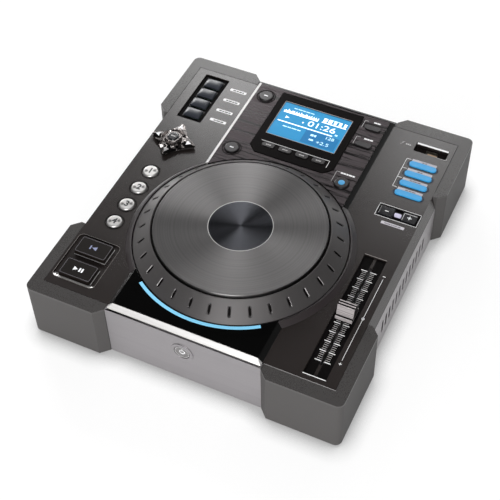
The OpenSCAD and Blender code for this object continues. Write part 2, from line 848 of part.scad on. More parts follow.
// The dish that the platter turns in, with a bevelled rim outside the raised centre.
module platter_collar() {
    color(shell_black) {
        translate([0, platter_y, 0]) rotate_extrude($fn = wide_fn) polygon([
            [spindle_r + 4, well_floor_z], [well_out_r, well_floor_z], [well_out_r, top_z], [well_r, top_z],
            [well_r, well_floor_z + well_wall], [spindle_r + 4, well_floor_z + well_wall]]);
        difference() {
            translate([0, platter_y, 0]) rotate_extrude($fn = wide_fn) polygon([
                [well_r, top_z], [collar_r, top_z], [collar_r - centre_rise, deck_z], [well_r, deck_z]]);
            centre_form(seam / 2);
        }
        intersection() {
            translate([0, platter_y, top_z]) difference() {
                cylinder(r = well_out_r, h = centre_rise - panel_t, $fn = wide_fn);
                translate([0, 0, -nudge]) cylinder(r = well_r, h = centre_rise, $fn = wide_fn);
            }
            translate([seam - bar_x, -body_d / 2, top_z]) cube([2 * (bar_x - seam), body_d, centre_rise]);
        }
    }
}

// ---- display ----

module display_bezel() {
    flange_z = panel_under_z - 1.6;
    color(gloss_black) difference() {
        union() {
            translate([0, 0, flange_z]) linear_extrude(deck_z + bezel_rise - flange_z) bezel_plan(0);
            translate([0, 0, flange_z]) linear_extrude(panel_under_z - flange_z) bezel_plan(1.2);
        }
        round_block(0, window_y, flange_z - nudge, deck_z + nudge, [window_w, window_d], 2);
        for (x = soft_xs)
            round_block(x, soft_y, flange_z - nudge, deck_z + nudge,
                [soft_l + 2 * key_gap, soft_w + 2 * key_gap], 2 + key_gap);
    }
}

module display_screen() {
    flange_z = panel_under_z - 1.6;
    color([0.25, 0.62, 0.85]) {
        round_block(0, window_y, flange_z - nudge, deck_z - 0.1,
            [window_w - 2 * seam, window_d - 2 * seam], 1.8);
        centred_block(0, window_y, flange_z - 2.4, flange_z, [window_w + 3, window_d + 3]);
        centred_block(0, window_y, centre_board_z, flange_z - 2.3, [window_w - 6, window_d - 6]);
    }
}

// ---- inside the case ----

module main_board() {
    top = main_board_z + board_t;
    r = capacitor[0];
    color(board_green) {
        centred_block(0, main_board_y, main_board_z, top, main_board);
        board_part(supply_pos, supply);
        board_part(processor_pos, processor);
        board_part(memory_pos, memory);
        for (i = [0:3])
            translate([(2 + 1.5 * i) * r, main_board_y + (i - 4) * 2.3 * r, top - 0.1])
                cylinder(r = r, h = capacitor[1]);
    }
}

module board_part(pos, size) {
    top = main_board_z + board_t;
    centred_block(pos[0], main_board_y + pos[1], top - 0.1, top + size[2], size);
}

module key_switch(x, y, z0, z1) {
    centred_block(x, y, z0 - 0.1, z1, [switch_w, switch_w]);
}

// Top of a switch under a key whose flange hangs below a panel of the given underside.
function switch_top(panel_z, travel) = panel_z - flange_gap - flange_t - travel - 0.3;

module switch_boards() {
    side_top = key_board_z;
    board_w = 2 * post_x() + 8;
    left_y0 = cue_ys[1] - 11;
    left_y1 = pad_ys[0] + 8;
    right_y0 = bend_y - bend_d / 2 - 4;
    right_y1 = oval_ys[0] + 14;
    centre_y0 = front_key_y - round_key_r - 2;
    centre_y1 = bevel_top_y - 3;
    key_top = switch_top(under_z, key_travel);
    recess_key_top = switch_top(recess_under_z, key_travel);
    panel_key_top = switch_top(panel_under_z, key_travel);
    bezel_key_top = switch_top(panel_under_z - 1.6, key_travel);
    color(board_green) {
        difference() {
            centred_block(left_x, (left_y0 + left_y1) / 2, side_top - board_t, side_top,
                [board_w, left_y1 - left_y0]);
            translate([nav_x, nav_y, side_top - board_t - nudge]) cylinder(r = gimbal_r + 6.2, h = board_t + 2 * nudge);
            translate([0, platter_y, side_top - board_t - nudge])
                cylinder(r = well_out_r + 1, h = board_t + 2 * nudge, $fn = wide_fn);
        }
        for (y = concat(pad_ys, cue_ys)) key_switch(left_x, y, side_top, recess_key_top);
        for (y = number_ys) key_switch(left_x, y, side_top, key_top);
        centred_block(right_x, (right_y0 + right_y1) / 2, side_top - board_t, side_top,
            [board_w, right_y1 - right_y0]);
        for (y = oval_ys) key_switch(right_x, y, side_top, key_top);
        for (s = [-1, 1]) key_switch(right_x + s * bend_out, bend_y, side_top, recess_key_top);
        difference() {
            centred_block(0, (centre_y0 + centre_y1) / 2, centre_board_z - board_t, centre_board_z,
                [2 * centre_key_x + 18, centre_y1 - centre_y0]);
            translate([0, platter_y, centre_board_z - board_t - nudge])
                cylinder(r = well_out_r + 1, h = board_t + 2 * nudge, $fn = wide_fn);
        }
        for (y = [rear_key_y, front_key_y]) key_switch(-centre_key_x, y, centre_board_z, panel_key_top);
        key_switch(centre_key_x, front_key_y, centre_board_z, panel_key_top);
        for (i = [0, 1])
            key_switch(centre_key_x, long_key_y - i * long_pitch, centre_board_z, panel_key_top);
        for (x = soft_xs) centred_block(x, soft_y, centre_board_z - 0.1, bezel_key_top, [switch_w, 4.5]);
    }
}

module bearing_housing() {
    sensor_x = encoder_r;
    color(steel) translate([0, platter_y, 0]) {
        rotate_extrude() polygon([
            [spindle_r + running_fit, floor_z + 6], [spindle_r + running_fit, bearing_top_z],
            [spindle_r + 7, bearing_top_z], [spindle_r + 9, floor_z + 8],
            [bearing_r, floor_z + bearing_foot_h], [bearing_r, floor_z], [0, floor_z], [0, floor_z + 6]]);
        difference() {
            centred_block(sensor_x, 0, floor_z + 2, encoder_z + 4.5, sensor);
            centred_block(sensor_x - 5, 0, encoder_z - 0.8, encoder_z + 2.3, sensor + [3, 2]);
        }
        centred_block((spindle_r + sensor_x) / 2 + 2, 0, floor_z + 1, floor_z + bearing_foot_h,
            [sensor_x - spindle_r, sensor[1]]);
    }
}

module fader_body() {
    top = recess_under_z;
    slot = [2.2, 2 * fader_reach + 8];
    color(steel) difference() {
        centred_block(right_x, knob_y, top - fader_case[1], top, [fader_case[0], 2 * fader_reach + 30]);
        centred_block(right_x, knob_y, top - fader_case[1] + 1.5, top + nudge, slot);
    }
}

module usb_socket() {
    top = pocket_z;
    under = pocket_z - pocket_wall;
    color([0.75, 0.72, 0.66]) {
        difference() {
            centred_block(right_x, usb_mouth_y, top - usb_l, top + 0.6, usb_shell);
            centred_block(right_x, usb_mouth_y, top - usb_l + 1.5, top + nudge, usb_shell - [0.8, 0.8]);
        }
        centred_block(right_x, usb_mouth_y + 0.6, top - usb_l + 1, top - 1, [usb_shell[0] - 2.6, 1.6]);
        difference() {
            centred_block(right_x, usb_mouth_y, under - board_t, under,
                [usb_shell[0] + 10, usb_shell[1] + 4]);
            centred_block(right_x, usb_mouth_y, under - board_t - nudge, under + nudge,
                usb_shell - [0.2, 0.2]);
        }
    }
}

// A box at the height of the sockets, from one depth to another.
module socket_box(x, y0, y1, size) {
    translate([x - size[0] / 2, y0, socket_z - size[1] / 2]) cube([size[0], y1 - y0, size[1]]);
}

module round_socket(x, r, bore_r, y_mouth) {
    difference() {
        union() {
            translate([x, y_mouth, socket_z]) rotate([90, 0, 0]) cylinder(r = r, h = y_mouth - pan_y + 1);
            socket_box(x, pan_y - socket_body[1], pan_y, [socket_body[0], socket_body[2]]);
        }
        translate([x, y_mouth + nudge, socket_z]) rotate([90, 0, 0])
            cylinder(r = bore_r, h = y_mouth - pan_y + socket_body[1] - 2);
    }
}

module rear_sockets() {
    inlet_mouth_y = face_y + 2;
    color([0.7, 0.66, 0.5]) {
        for (x = audio_xs) round_socket(x, audio_r, 1.7, body_d / 2 - 1);
        round_socket(jack_x, jack_r, 1.8, face_y + 1);
        difference() {
            union() {
                socket_box(data_x, pan_y - data_body_l, face_y + 0.6, data_shell);
                socket_box(data_x, pan_y - data_body_l, pan_y, data_shell + [3, 2]);
            }
            socket_box(data_x, pan_y - data_body_l + 5, face_y + nudge, data_shell - [1, 1]);
        }
        socket_box(data_x, pan_y - data_body_l + 4, face_y - 1.4, data_shell - [3.2, 5]);
    }
    color(gloss_black) {
        difference() {
            union() {
                socket_box(inlet_x, pan_y - inlet_body_l, inlet_mouth_y, inlet_body);
                socket_box(inlet_x, face_y, inlet_mouth_y, inlet_body + [8, 3]);
            }
            socket_box(inlet_x, pan_y - inlet_body_l + 2, inlet_mouth_y + nudge, inlet_body - [3, 4]);
        }
        for (x = [-1, 0, 1])
            socket_box(inlet_x + x * inlet_pin_pitch, pan_y - inlet_body_l + 1, pan_y - 1, inlet_pin);
    }
}

// ---- platter ----

module jog_ring() {
    skirt_z0 = well_floor_z + well_wall + 4;
    inner_foot_z = ring_foot_z - 1.2;
    inner_r = ring_r - ring_wall - (hub_top_z - inner_foot_z) / tan(ring_slope);
    mid_r = (ring_r + ring_in_r) / 2;
    mid_z = (ring_foot_z + ring_top_z) / 2;
    cutter_r = 2.2;
    dimple_turn = 8;
    half_l = dimple_l / 2;
    color(guard_grey) translate([0, platter_y, 0]) difference() {
        rotate_extrude($fn = wide_fn) polygon([
            [spindle_r + 1, hub_top_z], [inner_r, hub_top_z], [ring_r - ring_wall, inner_foot_z],
            [ring_r - ring_wall, skirt_z0], [ring_r, skirt_z0], [ring_r, ring_foot_z],
            [ring_in_r, ring_top_z], [ring_in_r - crest_w + 0.4, ring_top_z],
            [ring_in_r - crest_w, disc_seat_z],
            [spindle_r + 1, disc_seat_z]]);
        for (i = [0:dimple_count - 1])
            rotate([0, 0, dimple_turn + i * 360 / dimple_count]) translate([mid_r, 0, mid_z]) rotate([0, ring_slope, 0])
                translate([0, 0, cutter_r - dimple_depth]) rotate([0, 90, 0]) rotate_extrude() polygon([
                    [0, -half_l], [cutter_r, cutter_r - half_l], [cutter_r, half_l - cutter_r], [0, half_l]]);
    }
}

module jog_disc() {
    label_sink = 0.7;
    color([0.3, 0.3, 0.3]) translate([0, platter_y, 0]) rotate_extrude($fn = wide_fn) polygon([
        [0, disc_seat_z], [disc_r, disc_seat_z], [disc_r, disc_top_z - 0.6], [disc_r - 0.6, disc_top_z],
        [label_r + 0.1, disc_top_z], [label_r + 0.1, disc_top_z - label_sink], [0, disc_top_z - label_sink]]);
}

module jog_label() {
    label_sink = 0.7;
    color(gloss_black) translate([0, platter_y, disc_top_z - label_sink])
        cylinder(r = label_r, h = label_sink + 0.2, $fn = 48);
}

module jog_hub() {
    flange_r = 40;
    color(steel) translate([0, platter_y, 0]) rotate_extrude($fn = 24) polygon([
        [0, floor_z + 6.3], [spindle_r, floor_z + 6.3], [spindle_r, encoder_z],
        [encoder_r, encoder_z], [encoder_r, encoder_z + 1.5], [spindle_r, encoder_z + 1.5],
        [spindle_r, hub_top_z - 6], [spindle_r + 8, hub_top_z - 4], [flange_r, hub_top_z - 3],
        [flange_r, hub_top_z], [0, hub_top_z]]);
}

// ---- keys ----

// A key in a rounded rectangle hole, with the flange that keeps it there.
module flat_key(x, y, panel_z, under, size, r, rise) {
    flange_z = under - flange_gap;
    round_block(x, y, flange_z - flange_t / 2, panel_z + rise, size, r);
    centred_block(x, y, flange_z - flange_t, flange_z, size + [2 * flange_lip, 2 * flange_lip]);
}

module round_key(x, y, panel_z, under, rise) {
    flange_z = under - flange_gap;
    r = round_key_r;
    flange_r = r + round_gap - key_gap + flange_lip;
    translate([x, y, 0]) rotate_extrude() polygon([
        [0, flange_z - flange_t], [flange_r, flange_z - flange_t], [flange_r, flange_z],
        [r, flange_z], [r, panel_z + rise - 0.8], [r - 0.9, panel_z + rise], [0, panel_z + rise]]);
}

// A rubber pad whose top falls away to all sides from a short ridge.
module pad(y) {
    flange_z = recess_under_z - flange_gap;
    base_z = recess_z + 1.2;
    ridge_z = top_z + 1.8;
    half_w = pad_w / 2;
    half_d = pad_d / 2;
    color([0.06, 0.06, 0.07]) {
        round_block(left_x, y, flange_z - flange_t / 2, base_z, [pad_w, pad_d], 1);
        centred_block(left_x, y, flange_z - flange_t, flange_z,
            [pad_w + 2 * flange_lip, pad_d + 2 * flange_lip]);
        intersection() {
            round_block(left_x, y, base_z - 0.2, ridge_z + nudge, [pad_w, pad_d], 1);
            translate([left_x - half_w - nudge, y, 0]) rotate([90, 0, 90]) linear_extrude(pad_w + 2 * nudge)
                polygon([
                    [-half_d - nudge, base_z - 0.4], [half_d + nudge, base_z - 0.4], [half_d + nudge, base_z + 0.7],
                    [half_d - 2, ridge_z - 0.6], [2.2, ridge_z], [0, ridge_z], [-half_d - nudge, base_z + 0.3]]);
            translate([left_x, y + half_d + nudge, 0]) rotate([90, 0, 0]) linear_extrude(pad_d + 2 * nudge)
                polygon([
                    [-half_w - nudge, base_z - 0.4], [half_w + nudge, base_z - 0.4], [half_w + nudge, base_z + 0.5],
                    [half_w - 3, ridge_z - 0.3], [half_w - 6, ridge_z], [6 - half_w, ridge_z],
                    [3 - half_w, ridge_z - 0.3], [-half_w - nudge, base_z + 0.5]]);
        }
    }
}

module pad_1() { pad(pad_ys[0]); }
module pad_2() { pad(pad_ys[1]); }
module pad_3() { pad(pad_ys[2]); }
module pad_4() { pad(pad_ys[3]); }

module number_key(y) {
    color([0.85, 0.84, 0.84]) round_key(left_x, y, top_z, under_z, key_rise);
}

module number_key_1() { number_key(number_ys[0]); }
module number_key_2() { number_key(number_ys[1]); }
module number_key_3() { number_key(number_ys[2]); }
module number_key_4() { number_key(number_ys[3]); }

module big_key(y) {
    color(gloss_black) flat_key(left_x, y, recess_z, recess_under_z, [cue_w, cue_d], 2, recess_depth + cue_rise);
}

module cue_button() { big_key(cue_ys[0]); }
module play_button() { big_key(cue_ys[1]); }

module soft_key(x) {
    color([0.25, 0.24, 0.25])
        flat_key(x, soft_y, deck_z + bezel_rise, panel_under_z - 1.6, [soft_l, soft_w], 2, key_rise - 0.8);
}

module soft_key_1() { soft_key(soft_xs[0]); }
module soft_key_2() { soft_key(soft_xs[1]); }
module soft_key_3() { soft_key(soft_xs[2]); }
module soft_key_4() { soft_key(soft_xs[3]); }

module centre_round_key(x, y) {
    color([0.3, 0.29, 0.3]) round_key(x, y, deck_z, panel_under_z, key_rise);
}

module round_key_rear() { centre_round_key(-centre_key_x, rear_key_y); }
module round_key_front() { centre_round_key(-centre_key_x, front_key_y); }
module jog_mode_key() { centre_round_key(centre_key_x, front_key_y); }

module long_key(y) {
    color([0.25, 0.24, 0.25])
        flat_key(centre_key_x, y, deck_z, panel_under_z, [long_l, long_w], long_w / 2 - 0.01, key_rise);
}

module long_key_rear() { long_key(long_key_y); }
module long_key_front() { long_key(long_key_y - long_pitch); }

module oval_key(y) {
    color(key_blue) flat_key(right_x, y, top_z, under_z, [oval_l, oval_w], oval_w / 2 - 0.01, key_rise);
}

module oval_key_1() { oval_key(oval_ys[0]); }
module oval_key_2() { oval_key(oval_ys[1]); }
module oval_key_3() { oval_key(oval_ys[2]); }
module oval_key_4() { oval_key(oval_ys[3]); }

module bend_key(side) {
    color(gloss_black)
        flat_key(right_x + side * bend_out, bend_y, recess_z, recess_under_z, [bend_w, bend_d], 1,
            recess_depth + 0.4);
}

module bend_down_key() { bend_key(-1); }
module bend_up_key() { bend_key(1); }

module power_button() {
    front = face_y + 0.4;
    flange_y = pan_y - sheet - flange_gap;
    color([0.75, 0.75, 0.77]) translate([0, 0, power_z]) rotate([90, 0, 0]) rotate_extrude() polygon([
        [0, flange_y - flange_t], [power_r + 2, flange_y - flange_t], [power_r + 2, flange_y],
        [power_r, flange_y], [power_r, front - 0.5], [power_r - 0.5, front],
        [power_r - 2, front], [power_r - 2.6, front - 0.6], [0, front - 0.6]]);
}

// ---- navigation pad on its gimbal ----

module nav_gimbal() {
    color(steel) translate([nav_x, nav_y, nav_pivot_z]) {
        difference() {
            translate([0, 0, -gimbal_h / 2]) cylinder(r = gimbal_r, h = gimbal_h);
            translate([0, 0, -gimbal_h]) cylinder(r = gimbal_in_r, h = 2 * gimbal_h);
            translate([0, 2 * gimbal_r, 0]) rotate([90, 0, 0])
                cylinder(r = pin_r + running_fit, h = 4 * gimbal_r);
        }
        for (s = [-1, 1])
            translate([s * (gimbal_r - 1), 0, 0]) rotate([0, s * 90, 0])
                cylinder(r = pin_r, h = ear_gap + ear_w + 1);
    }
}

function star_points() = [
    for (i = [0:3], k = [-1, 1, 2])
        let (a = 90 * i)
        k == 2
            ? [nav_valley_r * cos(a + 45), nav_valley_r * sin(a + 45)]
            : let (reach = i % 2 == 0 ? nav_r : nav_end_r)
                [reach * cos(a) - k * 1.6 * sin(a), reach * sin(a) + k * 1.6 * cos(a)]];

module nav_star() {
    bore_r = nav_button_r + key_gap;
    color(gloss_black) translate([nav_x, nav_y, 0]) {
        difference() {
            intersection() {
                translate([0, 0, nav_under_z]) linear_extrude(nav_hub_z) polygon(star_points());
                rotate_extrude($fn = 32) polygon([
                    [0, nav_under_z], [nav_r + 1, nav_under_z], [nav_r + 1, nav_tip_z],
                    [nav_groove_r + 2.6, nav_arm_z], [nav_groove_r + 1, nav_arm_z - 0.2],
                    [nav_groove_r - 0.4, nav_slot_z + 0.8], [nav_collar_r + 1.2, nav_slot_z + 0.8],
                    [nav_collar_r, nav_hub_z - 0.6], [nav_collar_r - 0.8, nav_hub_z], [0, nav_hub_z]]);
            }
            translate([0, 0, nav_under_z + 1.6]) cylinder(r = bore_r, h = nav_hub_z);
            for (a = [45:90:315]) rotate([0, 0, a])
                translate([nav_groove_r - 2, -nav_slot_w / 2, nav_slot_z]) cube([nav_r, nav_slot_w, nav_hub_z]);
        }
        translate([0, 0, nav_pivot_z - 3]) cylinder(r = nav_stem_r, h = nav_under_z - nav_pivot_z + 3.5);
        for (s = [-1, 1])
            translate([0, s * (nav_stem_r - 1), nav_pivot_z]) rotate([-s * 90, 0, 0])
                cylinder(r = pin_r, h = gimbal_r - nav_stem_r + 1);
    }
}

module nav_button() {
    floor_gap = key_travel + 0.3;
    color([0.1, 0.1, 0.11]) translate([nav_x, nav_y, 0]) rotate_extrude() polygon([
        [0, nav_under_z + 1.6 + floor_gap], [nav_button_r, nav_under_z + 1.6 + floor_gap],
        [nav_button_r, nav_hub_z + 0.2], [nav_button_r - 0.8, nav_hub_z + 1], [0, nav_hub_z + 1]]);
}

// ---- pitch fader ----

module fader_knob() {
    half = knob_l / 2;
    under = recess_z + 0.5;
    top = top_z + knob_rise;
    foot = top_z + knob_foot;
    ridge = knob_top_l / 2;
    side = [
        [half, under], [half, foot - 0.7], [half - 0.3, foot], [half - 1.1, foot], [half - 1.4, foot - 1.2],
        [ridge + 2.3, foot - 1.2], [ridge + 2.2, foot - 0.2], [ridge, top - 0.6], [ridge - 0.3, top],
        [ridge - 0.9, top], [ridge - 1.1, top - 1.2], [0.7, top - 1.2], [0.5, top]];
    color([0.7, 0.68, 0.68]) {
        translate([right_x - knob_w / 2, knob_y, 0]) rotate([90, 0, 90]) linear_extrude(knob_w) polygon([
            for (p = side) p,
            for (i = [len(side) - 1:-1:0]) [-side[i].x, side[i].y]]);
        centred_block(right_x, knob_y, recess_under_z - 5.5, under + 0.2, [1.4, 8]);
    }
}

base_pan();
front_plate();
rear_panel();
side_plate_left();
side_plate_right();
guard_front_left();
guard_front_right();
guard_rear_left();
guard_rear_right();
cover_left();
cover_right();
centre_panel();
bright_trims();
dark_trim();
front_deck();
platter_collar();
light_arc();
display_bezel();
display_screen();
main_board();
switch_boards();
bearing_housing();
fader_body();
usb_socket();
rear_sockets();
feet();
jog_ring();
jog_disc();
jog_label();
jog_hub();
pad_1();
pad_2();
pad_3();
pad_4();
nav_gimbal();
nav_star();
nav_button();
number_key_1();
number_key_2();
number_key_3();
number_key_4();
cue_button();
play_button();
soft_key_1();
soft_key_2();
soft_key_3();
soft_key_4();
round_key_rear();
round_key_front();
long_key_rear();
long_key_front();
jog_mode_key();
oval_key_1();
oval_key_2();
oval_key_3();
oval_key_4();
bend_down_key();
bend_up_key();
fader_knob();
power_button();
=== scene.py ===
import json
import math

import bmesh
import bpy
from mathutils import Matrix, Vector


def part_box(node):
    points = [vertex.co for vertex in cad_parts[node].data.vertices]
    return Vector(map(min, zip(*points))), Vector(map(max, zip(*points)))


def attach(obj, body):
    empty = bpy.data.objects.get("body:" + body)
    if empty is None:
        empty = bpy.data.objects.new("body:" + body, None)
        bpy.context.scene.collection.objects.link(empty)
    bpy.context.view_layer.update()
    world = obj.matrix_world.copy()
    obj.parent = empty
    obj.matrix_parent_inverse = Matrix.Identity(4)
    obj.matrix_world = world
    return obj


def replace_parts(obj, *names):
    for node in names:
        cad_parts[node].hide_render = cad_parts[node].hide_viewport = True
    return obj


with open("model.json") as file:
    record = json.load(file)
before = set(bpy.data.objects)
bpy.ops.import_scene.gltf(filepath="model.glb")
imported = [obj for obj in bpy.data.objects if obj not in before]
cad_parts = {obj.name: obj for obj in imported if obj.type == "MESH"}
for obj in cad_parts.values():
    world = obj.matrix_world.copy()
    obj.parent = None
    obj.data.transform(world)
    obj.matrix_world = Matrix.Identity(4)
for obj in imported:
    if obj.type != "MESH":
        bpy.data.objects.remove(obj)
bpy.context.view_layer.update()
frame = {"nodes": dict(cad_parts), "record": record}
nodes = frame["nodes"]
mm = 0.001


# a node's middle seen from above, its width and depth, and its top, all in millimetres
def middle(name):
    low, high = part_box(name)
    return (low[0] + high[0]) / 2 / mm, (low[1] + high[1]) / 2 / mm


def span(name):
    low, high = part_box(name)
    return (high[0] - low[0]) / mm, (high[1] - low[1]) / mm


def top(name):
    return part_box(name)[1][2] / mm


# the four nodes of a numbered row
def numbered(name):
    return [f"{name}_{number}" for number in range(1, 5)]


guards = [f"guard_{end}_{side}" for end in ("front", "rear") for side in ("left", "right")]
playKeys = ["cue_button", "play_button"]
bendKeys = ["bend_down_key", "bend_up_key"]
roundKeys = ["round_key_rear", "round_key_front"]
longKeys = ["long_key_rear", "long_key_front"]
platterX, platterY = middle("jog_ring")


def tint(colour, factor=1.0):
    return (*[min(1.0, part * factor) for part in colour], 1.0)


# a socket that takes part in sums
class Wire:
    def __init__(self, shader, socket):
        self.shader = shader
        self.socket = socket

    def math(self, operation, *values):
        return self.shader.node("ShaderNodeMath", {"operation": operation}, dict(enumerate(values)))

    def __add__(self, other):
        return self.math("ADD", self, other)

    def __sub__(self, other):
        return self.math("SUBTRACT", self, other)

    def __rsub__(self, other):
        return self.math("SUBTRACT", other, self)

    def __mul__(self, other):
        return self.math("MULTIPLY", self, other)

    def __truediv__(self, other):
        return self.math("DIVIDE", self, other)

    def __pow__(self, other):
        return self.math("POWER", self, other)


# the node tree of a material or world, which makes its nodes one way
class Shader:
    def __init__(self, owner):
        owner.use_nodes = True
        self.owner = owner
        self.tree = owner.node_tree
        self.tree.nodes.clear()

    # settings come first, a ramp's stops among them, then values or wires by socket
    def node(self, kind, settings=None, sockets=None, output=0):
        made = self.tree.nodes.new(kind)
        for name, value in (settings or {}).items():
            if name == "stops":
                ramp = made.color_ramp
                while len(ramp.elements) < len(value):
                    ramp.elements.new(0.5)
                for stop, (position, shade) in zip(ramp.elements, value):
                    stop.position = position
                    stop.color = (shade, shade, shade, 1.0)
            else:
                setattr(made, name, value)
        for name, value in (sockets or {}).items():
            if isinstance(value, Wire):
                self.tree.links.new(value.socket, made.inputs[name])
            else:
                made.inputs[name].default_value = value
        return Wire(self, made.outputs[output]) if len(made.outputs) else None

    def place(self):
        return self.node("ShaderNodeTexCoord", output="Object")

    def mapped(self, scale, location=(0, 0, 0)):
        return self.node("ShaderNodeMapping", {"vector_type": "POINT"},
                         {"Vector": self.place(), "Scale": scale, "Location": location})

    def noise(self, vector, scale, detail, roughness):
        return self.node("ShaderNodeTexNoise", {}, {"Vector": vector, "Scale": scale, "Detail": detail,
                                                    "Roughness": roughness})

    # noise along one value, such as a radius
    def bands(self, value, detail, roughness):
        return self.node("ShaderNodeTexNoise", {"noise_dimensions": "1D"},
                         {"W": value, "Scale": 1.0, "Detail": detail, "Roughness": roughness})

    def ramp(self, value, stops):
        return self.node("ShaderNodeValToRGB", {"stops": stops}, {"Fac": value})

    def blend(self, factor, first, second):
        return self.node("ShaderNodeMix", {"data_type": "RGBA"}, {"Factor": factor, 6: first, 7: second}, output=2)

    # a colour that goes from a darker to a lighter tint
    def shaded(self, factor, colour, spread):
        return self.blend(factor, tint(colour, 1 - spread), tint(colour, 1 + spread))

    def axis(self, name):
        return self.node("ShaderNodeSeparateXYZ", {}, {"Vector": self.place()}, output=name)

    # distance from the platter's axis
    def radius(self):
        flat = self.mapped((1, 1, 0), (-platterX * mm, -platterY * mm, 0))
        return self.node("ShaderNodeVectorMath", {"operation": "LENGTH"}, {0: flat}, output="Value")

    def bump(self, height, depth, strength):
        return self.node("ShaderNodeBump", {}, {"Height": height, "Distance": depth, "Strength": strength})

    def finish(self, sockets):
        surface = self.node("ShaderNodeBsdfPrincipled", {}, sockets, output="BSDF")
        self.node("ShaderNodeOutputMaterial", {}, {"Surface": surface})
        return self.owner


def newMaterial(name):
    return Shader(bpy.data.materials.new(name))


# painted or moulded plastic with a fine grain and cloudy sheen, its walls below a height rougher if told so
def mouldedFinish(name, colour, metallic=0.0, roughness=0.45, grain=900, grainDepth=0.00004, cloud=0.12, coat=0.0,
                  shine=0.5, wallRoughness=None, wallTop=0.0712):
    shader = newMaterial(name)
    speckle = shader.noise(shader.place(), grain, 3.0, 0.6)
    patches = shader.noise(shader.place(), 14, 3.0, 0.55)
    swing = 0.16  # from the smoothest to the roughest place
    least = roughness - swing / 2
    if wallRoughness:
        least = shader.ramp(shader.axis("Z") / (2 * wallTop), [(0.485, wallRoughness - swing / 2), (0.5, least)])
    return shader.finish({
        "Base Color": shader.shaded(patches * 0.7 + speckle * 0.3, colour, cloud),
        "Metallic": metallic,
        "Specular IOR Level": shine,
        "Roughness": (patches * 0.5 + speckle * 0.5) * swing + least,
        "Coat Weight": coat,
        "Coat Roughness": 0.3,
        "Normal": shader.bump(speckle, grainDepth, 0.6)})


# ink and printed strips, and painted highlight lines
def printFinish(name, colour):
    return mouldedFinish(name, colour, roughness=0.5, grain=1500, grainDepth=0.00001, cloud=0.06)


# metal brushed from left to right
def brushedFinish(name, colour, metallic=1.0, roughness=0.32, streak=0.25, streakDepth=0.00002, spread=0.2, run=6,
                  fine=900):
    shader = newMaterial(name)
    lines = shader.noise(shader.mapped((run, fine, fine)), 1.0, 4.0, 0.7)
    wide = shader.noise(shader.mapped((2, 160, 160)), 1.0, 2.0, 0.5)
    mixed = lines * 0.6 + wide * 0.4
    return shader.finish({
        "Base Color": shader.shaded(shader.ramp(mixed, [(0.4, 0.0), (0.6, 1.0)]), colour, streak),
        "Metallic": metallic,
        "Roughness": shader.ramp(mixed, [(0.42, 0.0), (0.58, 1.0)]) * spread + (roughness - spread / 2),
        "Normal": shader.bump(lines, streakDepth, 0.5)})


# metal turned in fine circles round the platter's axis
def turnedFinish(name, colour, groove, depth, roughness, streak, pull=0.0):
    shader = newMaterial(name)
    radius = shader.radius()
    rings = shader.bands(radius / groove, 3.0, 0.7)
    mixed = rings * 0.5 + shader.bands(radius / (groove * 5), 2.0, 0.5) * 0.5
    swing = 0.12
    return shader.finish({
        "Base Color": shader.shaded(shader.ramp(mixed, [(0.3, 0.0), (0.7, 1.0)]), colour, streak),
        "Metallic": 1.0,
        "Anisotropic": pull,
        "Anisotropic Rotation": 0.25,
        "Tangent": shader.node("ShaderNodeTangent", {"direction_type": "RADIAL", "axis": "Z"}),
        "Roughness": mixed * swing + (roughness - swing / 2),
        "Normal": shader.bump(rings, depth, 1.0)})


# plain dark metal plating
def chromeFinish(name, colour, roughness):
    shader = newMaterial(name)
    speckle = shader.noise(shader.place(), 700, 2.0, 0.5)
    swing = 0.06
    return shader.finish({
        "Base Color": shader.shaded(speckle, colour, 0.05),
        "Metallic": 1.0,
        "Roughness": speckle * swing + (roughness - swing / 2)})


# satin dome of a round key, with a painted dark reflection on either side of its middle
def domeFinish(name, colour, centre, turn=25.0, reach=0.008):
    shader = newMaterial(name)
    across, along = shader.axis("X") - centre[0] * mm, shader.axis("Y") - centre[1] * mm
    out = (across * across + along * along + 1e-10) ** 0.5
    side = (across * math.cos(math.radians(turn)) + along * math.sin(math.radians(turn))) / out
    paintedReflection = shader.ramp(side * side, [(0.74, 0.0), (0.97, 1.0)]) * shader.ramp(
        out / reach, [(0.28, 0.0), (0.44, 1.0), (0.66, 1.0), (0.95, 0.0)])
    return shader.finish({
        "Base Color": shader.blend(paintedReflection, tint(colour), tint(colour, 0.2)),
        "Metallic": 0.7,
        "Roughness": paintedReflection * 0.05 + 0.34})


# high gloss plastic with a trace of dust and haze
def glossFinish(name, colour, roughness, haze=0.06, coat=1.0, shine=0.5):
    shader = newMaterial(name)
    cloud = shader.noise(shader.place(), 30, 4.0, 0.6)
    return shader.finish({
        "Base Color": shader.shaded(cloud, colour, 0.2),
        "Specular IOR Level": shine,
        "Roughness": cloud * haze + (roughness - haze / 2),
        "Coat Weight": coat,
        "Coat Roughness": 0.03,
        "Normal": shader.bump(cloud, 0.00002, 0.3)})


# a lit surface
def litFinish(name, colour, strength, roughness=0.25, shine=0.5):
    shader = newMaterial(name)
    cloud = shader.noise(shader.place(), 120, 2.0, 0.5)
    shade = shader.blend(cloud, tint(colour, 0.94), tint(colour, 1.04))
    swing = 0.1
    return shader.finish({
        "Base Color": shade,
        "Specular IOR Level": shine,
        "Roughness": cloud * swing + (roughness - swing / 2),
        "Emission Color": shade,
        "Emission Strength": strength,
        "Normal": shader.bump(cloud, 0.00002, 0.3)})


